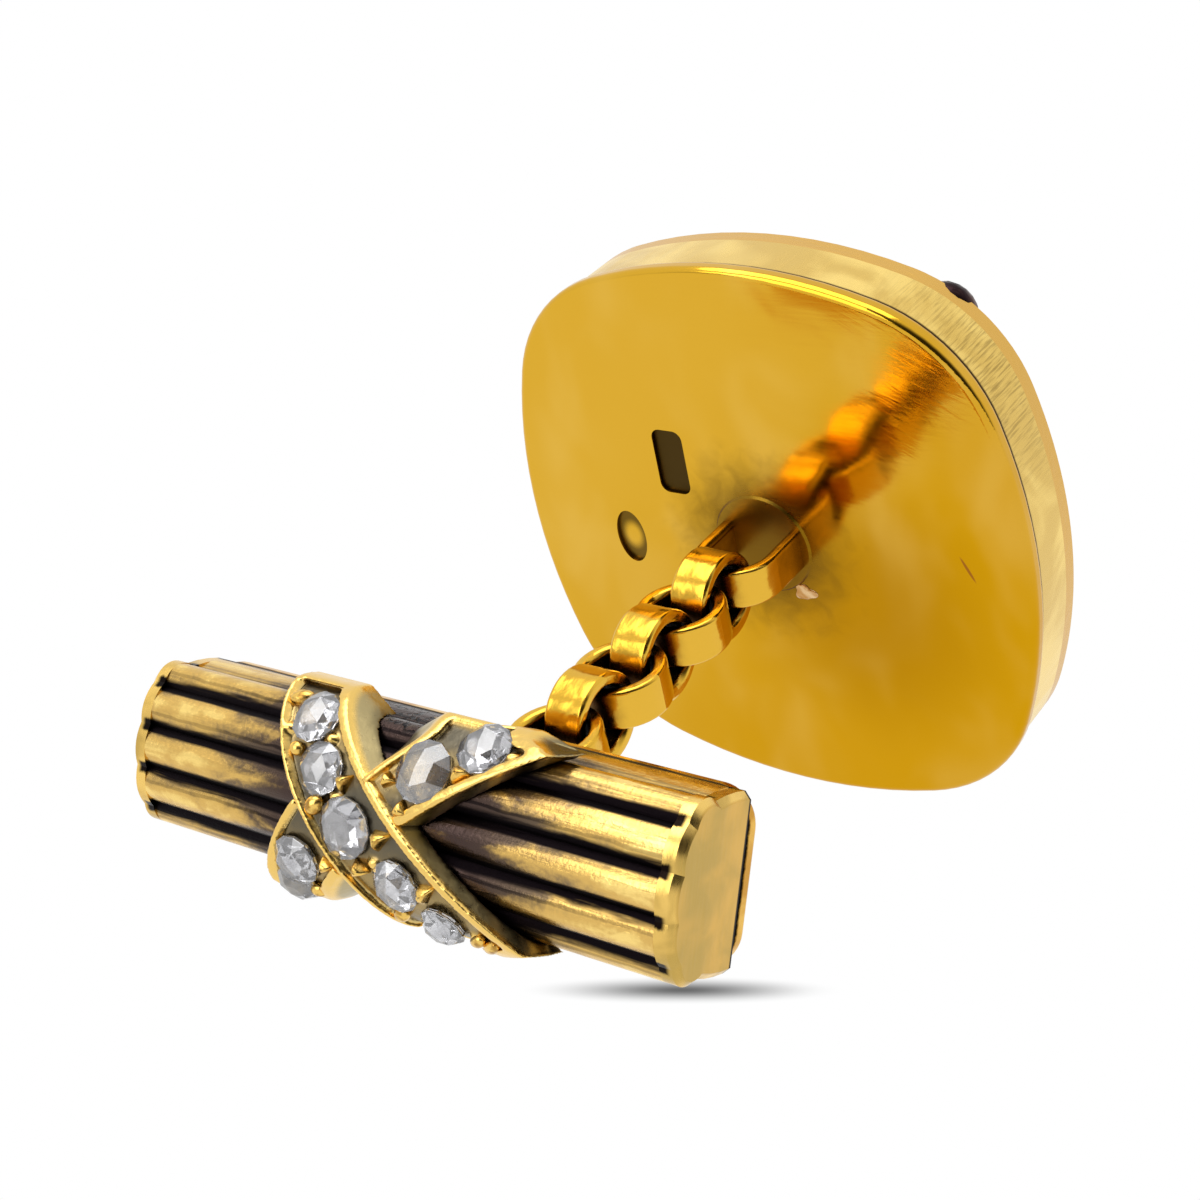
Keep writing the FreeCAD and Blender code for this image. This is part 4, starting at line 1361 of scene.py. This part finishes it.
@dataclass
class Head(Ornament):
    """The cushion head's ribbon, stones, beads, solder and edge claw."""

    body: str = "head"
    cut: RoseCut = RoseCut(swell=1.1)
    casting: WornCasting = WornCasting(grid=0.07)
    bead: Grain = Grain(GrainKind.BEAD, radius=0.24, long=1.2)
    bead_away: float = 1.12
    drops: tuple[Drop, ...] = (
        Drop(
            "solder_silver",
            (0.62, 0.62),
            (0.5, 0.34, 0.12),
            CloudedMetal("silver_solder", tint(214, 208, 190), tint(150, 136, 104)),
        ),
        Drop(
            "solder_rose",
            (1.15, 1.46),
            (0.36, 0.26, 0.06),
            CloudedMetal("rose_solder", tint(226, 190, 140), tint(190, 136, 70)),
        ),
    )
    drop_waves: tuple[tuple[int, float], ...] = ((3, 0.16), (5, 0.1))
    claw: Grain = Grain(GrainKind.BEAD, radius=0.62, long=1.25)
    claw_at: Spot = (5.52, -6.82, 2.75)
    claw_turn: float = math.radians(40)
    # the edge claw is dark as patina and as painted shade
    claw_finish: Finish = CloudedMetal("claw_patina_and_shade", tint(92, 66, 60), tint(44, 30, 32))

    def bead_seats(self) -> list[Matrix]:
        """The frames of four beads round every stone of the ribbon.

        Returns:
            The frames, in millimetres.
        """
        seats = []
        for number in range(1, self.stones + 1):
            stone = StoneSeat.of(self.nodes[f"head_stone_{number}"])
            for quarter in range(4):
                turn = Matrix.Rotation(quarter * math.pi / 2, 4, "Z")
                spot = stone.foot + turn @ Vector((stone.radius * self.bead_away, 0, 0))
                seats.append(Matrix.Translation(spot / MM) @ turn)
        return seats

    def blob(self, drop: Drop) -> bpy.types.Object:
        """A low uneven blob of solder on the plate.

        Args:
            drop: its name, place and size.

        Returns:
            The blob.
        """
        deselect()
        bpy.ops.mesh.primitive_ico_sphere_add(subdivisions=4, radius=1.0)
        blob = bpy.context.object
        call(blob, drop.name)
        edit_all()
        bpy.ops.transform.resize(value=drop.size)
        bpy.ops.object.mode_set(mode="OBJECT")
        for vertex in blob.data.vertices:
            spread = math.atan2(vertex.co.y, vertex.co.x)
            sway = 1.0
            for (waves, deep), start in zip(self.drop_waves, drop.spot):
                sway += deep * math.sin(waves * spread + start)
            vertex.co.x *= sway
            vertex.co.y *= sway
        blob.data.transform(Matrix.Scale(MM, 4) @ Matrix.Translation((*drop.spot, 0)))
        bpy.ops.object.shade_smooth()
        return blob

    def build(self, press: GrainPress, stone: bpy.types.Material, grain: bpy.types.Material) -> None:
        """Models and dresses the head's new pieces.

        Args:
            press: what sets its beads and its claw.
            stone: the stones' finish.
            grain: the beads' finish.
        """
        self.set_stones(stone)
        self.set_ribbon(HeadRibbonGold(self.shape).make())
        seats = self.bead_seats()
        beads = press.set("head_grains", [self.bead] * len(seats), seats)
        finish_piece(beads, grain, "head")
        for drop in self.drops:
            finish_piece(self.blob(drop), drop.finish.make(), "head")
        seat = Matrix.Translation(self.claw_at) @ Matrix.Rotation(self.claw_turn, 4, "Z")
        claw = press.set("head_edge_claw", [self.claw], [seat])
        finish_piece(claw, self.claw_finish.make(), "head")


@dataclass
class Bar(Ornament):
    """The reeded toggle bar's ribbon, stones and grains."""

    body: str = "bar"
    cut: RoseCut = RoseCut(swell=1.22)
    casting: WornCasting = WornCasting(grid=0.04)
    near_flare: float = 0.4
    far_flare: float = 0.1
    lean_gain: float = 1.4
    arm_slide: float = 0.8
    arm_line: tuple[Span, Span] = ((1.0, -0.1), (4.5, -2.3))
    arm_bed: Span = (0.35, 1.85)
    grain_high: float = 0.08
    grains: list[Grain] = field(
        default_factory=lambda: [
            Grain(GrainKind.BEAD, -2.9, -2.2, 0.22, 1.6, 0.3),
            Grain(GrainKind.BEAD, -2.36, -1.12),
            Grain(GrainKind.CLAW, -0.74, -0.66, 0.29, 1.2, 1.2),
            Grain(GrainKind.BEAD, -1.5, 0.04, 0.25, 1.2, 0.8),
            Grain(GrainKind.CLAW, 0.52, 0.42, 0.31, 1.3, 0.9),
            Grain(GrainKind.CLAW, -0.12, 1.3, 0.32, 1.1, 0.4),
            Grain(GrainKind.CLAW, 1.84, 1.4, 0.29, 1.3, 1.0),
            Grain(GrainKind.BEAD, 0.86, 2.2, 0.22, 1.3, 0.8),
            Grain(GrainKind.BEAD, 3.05, 2.3, 0.19, 1.6, 0.7),
            Grain(GrainKind.BEAD, 3.4, 2.36, 0.2, 2.0, 0.75),
            Grain(GrainKind.CLAW, 0.55, -0.98, 0.27, 1.1, 0.5),
            Grain(GrainKind.CLAW, 1.1, -0.4, 0.3, 1.1, 0.2),
            Grain(GrainKind.CLAW, 2.45, -1.5, 0.32, 1.2, 0.7),
            Grain(GrainKind.CLAW, -1.22, 1.5, 0.28, 1.1, 0.6),
            Grain(GrainKind.BEAD, -1.86, 2.3, 0.22, 1.2, 0.2),
        ]
    )

    def slide(self, piece: bpy.types.Object) -> None:
        """Draws the right arm's upper edge in, along the crossing strap, so that its bed is narrower.

        Args:
            piece: the arm, its mesh in millimetres.
        """
        frame = self.shape.frame()
        inverse = frame.inverted()
        most = self.arm_slide * math.sqrt(0.5)
        near, tip = (Vector(end) for end in self.arm_line)
        normal = Vector((tip.y - near.y, near.x - tip.x)).normalized()
        low, high = self.arm_bed
        moves = []
        for vertex in piece.data.vertices:
            spot = inverse @ vertex.co
            lift = max(0.0, spot.z - self.shape.crown_level)
            inward = (Vector((spot.x, spot.y - lift)) - near).dot(normal)
            way = most * max(0.0, min(1.0, (inward - low) / (high - low)))
            spot = self.shape.drawn(spot, way)
            spot.x += way
            moves.append(frame @ spot)
        for vertex, spot in zip(piece.data.vertices, moves):
            vertex.co = spot

    def flare(self, piece: bpy.types.Object) -> None:
        """Slopes the ribbon's outer walls, widest at their feet, by moving them along the bar.

        Args:
            piece: the part of the ribbon, its mesh in millimetres.
        """
        inverse = self.shape.frame().inverted()
        moves = []
        for vertex in piece.data.vertices:
            high = self.shape.height(inverse @ vertex.co)
            share = max(0.0, min(1.0, 1 - high / self.shape.strap_high))
            lean = max(-1.0, min(1.0, vertex.normal.x * self.lean_gain))
            moves.append(share * lean * (self.near_flare if lean > 0 else self.far_flare))
        for vertex, move in zip(piece.data.vertices, moves):
            vertex.co.x += move

    def work(self, word: str, piece: bpy.types.Object) -> None:
        """Draws the right arm in and slopes the walls of every part.

        Args:
            word: which part it is.
            piece: the part, its mesh in millimetres.
        """
        if word == "right":
            self.slide(piece)
        self.flare(piece)

    def build(self, press: GrainPress, stone: bpy.types.Material, grain: bpy.types.Material) -> None:
        """Models and dresses the bar's new pieces.

        Args:
            press: what sets its grains.
            stone: the stones' finish.
            grain: the grains' finish.
        """
        self.set_stones(stone)
        self.set_ribbon(RibbonGold(self.shape).make())
        high = self.shape.bed_high + self.grain_high
        seats = [self.shape.seat(one.along, one.across, high, one.spin) for one in self.grains]
        finish_piece(press.set("bar_grains", self.grains, seats), grain, "bar")


@dataclass(frozen=True)
class Lamp:
    """A soft square lamp, its way told along the camera's right, the floor's up and the camera's back."""

    name: str
    way: Spot
    far: float
    wide: float
    watts: float


@dataclass
class Studio:
    """Camera, pale floor, soft lamps and white surroundings."""

    eye_mm: Vector = field(default_factory=lambda: Vector((30.981, -30.813, -42.833)))
    right: Vector = field(default_factory=lambda: Vector((0.8078, 0.1914, 0.5576)))
    down: Vector = field(default_factory=lambda: Vector((0.1625, 0.8369, -0.5227)))
    focal_px: float = 2100.0
    frame_px: float = 1200.0
    sensor_mm: float = 36.0
    floor_tilt: float = 6.0
    clip: Span = (0.001, 20.0)
    shadow_px: Span = (682.0, 990.0)
    shadow_half_px: Span = (165.0, 15.0)
    shadow_reach_mm: float = 7.0
    shadow_open: Span = (0.98, 0.82)
    shadow_grey: Colour = tint(108, 108, 108)
    floor_grey: Colour = tint(244, 244, 244)
    tent_pale: Colour = tint(250, 250, 250)
    tent_dim: Colour = tint(52, 49, 47)
    tent_span: Span = (0.0, 0.75)
    lamps: tuple[Lamp, ...] = (
        Lamp("overhead", (-0.3, 1.0, 0.25), 0.16, 0.14, 0.16),
        Lamp("side", (-1.0, 0.3, 0.8), 0.18, 0.1, 0.08),
    )

    def __post_init__(self) -> None:
        """Works out the directions from the camera's own."""
        self.right = self.right.normalized()
        self.up = -(self.down - self.right * self.down.dot(self.right)).normalized()
        self.back = self.right.cross(self.up)
        tilt = math.radians(self.floor_tilt)
        self.sky = self.up * math.cos(tilt) + self.back * math.sin(tilt)

    def camera(self) -> None:
        """Makes the camera at the photograph's viewing angle."""
        data = bpy.data.cameras.new("camera")
        data.sensor_width = self.sensor_mm
        data.lens = self.focal_px / self.frame_px * self.sensor_mm
        data.clip_start, data.clip_end = self.clip
        camera = bpy.data.objects.new("camera", data)
        turn = Matrix((self.right, self.up, self.back)).transposed().to_4x4()
        camera.matrix_world = Matrix.Translation(self.eye_mm * MM) @ turn
        link(camera)
        bpy.context.scene.camera = camera

    def on_floor(self, pixel: Span, foot: Vector) -> Vector:
        """The spot of the floor that a pixel of the photograph's frame shows.

        Args:
            pixel: the pixel, from the frame's upper left corner.
            foot: a spot that the floor passes through.

        Returns:
            The spot.
        """
        half = self.frame_px / 2
        way = self.right * (pixel[0] - half) - self.up * (pixel[1] - half) - self.back * self.focal_px
        eye = self.eye_mm * MM
        return eye + way * ((foot - eye).dot(self.sky) / way.dot(self.sky))

    def shadow(self, shader: Shader, foot: Vector) -> Field:
        """How much of a painted flat shadow under the bar a spot of the floor holds; it fades where nothing
        is near.

        Args:
            shader: the floor's shader.
            foot: a spot that the floor passes through.

        Returns:
            The share, from 0 to 1.
        """
        across, down = self.shadow_px
        middle = self.on_floor((across, down), foot)
        side = self.on_floor((across + self.shadow_half_px[0], down), foot) - middle
        front = self.on_floor((across, down + self.shadow_half_px[1]), foot) - middle
        axes = Matrix((side.normalized(), self.sky.cross(side).normalized(), self.sky)).transposed()
        scale = (MM / side.length, MM / front.length, 0.0)
        far = shader.oval(shader.millimetres(), middle / MM, tuple(axes.to_euler()), scale)
        near = shader.ease(shader.open_sky(self.shadow_reach_mm), *self.shadow_open)
        return shader.ease(far, 1.0, 0.0) * near

    def floor_finish(self, foot: Vector) -> bpy.types.Material:
        """The floor's material: it throws light back, but only its painted shadow is seen, from above.

        Args:
            foot: a spot that the floor passes through.

        Returns:
            The material.
        """
        material = bpy.data.materials.new("floor")
        shader = Shader(material)
        clear = shader.node("ShaderNodeBsdfTransparent")
        shade = shader.node("ShaderNodeBsdfDiffuse", inputs={"Color": self.floor_grey})
        # painted shadow: a grey glow in an oval under the bar, where the object is near
        seen = shader.mixed(clear, shader.glow(self.shadow_grey), self.shadow(shader, foot))
        mirrored = shader.ray("Is Glossy Ray") + shader.ray("Is Transmission Ray")
        unseen = shader.mixed(shade, shader.glow(WHITE), mirrored)
        above = shader.mixed(unseen, seen, shader.ray("Is Camera Ray"))
        below = shader.node("ShaderNodeNewGeometry", output="Backfacing")
        shader.surface(shader.mixed(above, clear, below))
        return material

    def floor(self) -> None:
        """Lays a floor under the lowest point."""
        corners = (vertex.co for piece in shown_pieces() for vertex in piece.data.vertices)
        lowest = min(corners, key=self.sky.dot)
        deselect()
        bpy.ops.mesh.primitive_plane_add(size=2.0)
        floor = bpy.context.object
        floor.name = "floor"
        floor.data.transform(Matrix.Translation(lowest) @ turn_to(self.sky))
        dress(floor, self.floor_finish(lowest))
        floor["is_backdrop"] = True

    def hang(self, lamp: Lamp, aim: Vector) -> None:
        """Hangs one lamp.

        Args:
            lamp: the lamp.
            aim: the spot that it points at.
        """
        data = bpy.data.lights.new(lamp.name, "AREA")
        data.shape = "SQUARE"
        data.size = lamp.wide
        data.energy = lamp.watts
        right, up, back = lamp.way
        way = (self.sky * up + self.back * back + self.right * right).normalized()
        made = bpy.data.objects.new(lamp.name, data)
        made.matrix_world = Matrix.Translation(aim + way * lamp.far) @ turn_to(way)
        link(made)

    def surroundings(self) -> None:
        """Surrounds the object with white that is greyer behind the camera."""
        world = bpy.data.worlds.new("surroundings")
        bpy.context.scene.world = world
        shader = Shader(world)
        way = shader.node("ShaderNodeTexCoord", output="Generated")
        behind = shader.toward(way, self.back) - shader.toward(way, self.sky) * 0.5
        tent = shader.blend(self.tent_pale, self.tent_dim, shader.ease(behind, *self.tent_span))
        colour = shader.blend(tent, WHITE, shader.ray("Is Camera Ray"))
        glow = shader.node("ShaderNodeBackground", inputs={"Color": colour})
        shader.node("ShaderNodeOutputWorld", inputs={"Surface": glow})

    def build(self) -> None:
        """Sets the whole studio up."""
        bpy.context.scene.view_settings.view_transform = "Standard"
        self.camera()
        self.floor()
        low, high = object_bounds()
        for lamp in self.lamps:
            self.hang(lamp, (low + high) / 2)
        self.surroundings()


def clear_stock() -> None:
    """Removes what a new file holds."""
    for stock in list(bpy.data.objects):
        bpy.data.objects.remove(stock)


def dress_nodes(nodes: dict[str, bpy.types.Object], shape: BarShape) -> None:
    """Gives every kept node its finish.

    Args:
        nodes: the model's nodes by name.
        shape: the bar's frame and section.
    """
    plate = PlateGold().make()
    end = EndGold(shape).make()
    chain = ChainGold().make()
    own = {
        "head_back_plate": plate,
        "head_side_wall": WallGold().make(),
        "head_face_plate": FaceGold().make(),
        "shank_seat": plate,
        "bar_shell": AntiqueGold(shape).make(),
        "bar_back_plate": BackGold(shape).make(),
        "bar_end_left": end,
        "bar_end_right": end,
    }
    for name, node in nodes.items():
        if "stone" in name or "ribbon" in name:
            continue
        finish = own.get(name, chain)
        dress(node, finish)
        LOG.info("%s: %s", name, finish.name)


def main() -> None:
    """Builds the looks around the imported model."""
    logging.basicConfig(level=logging.INFO, format="%(message)s")
    clear_stock()
    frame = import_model()
    nodes = frame["nodes"]
    shape = BarShape.of_frame()
    dress_nodes(nodes, shape)
    press = GrainPress()
    stone = RoseStone().make()
    grain = GrainGold().make()
    Head(nodes, shape).build(press, stone, grain)
    Bar(nodes, shape).build(press, stone, grain)
    Studio().build()


if __name__ == "__main__":
    main()
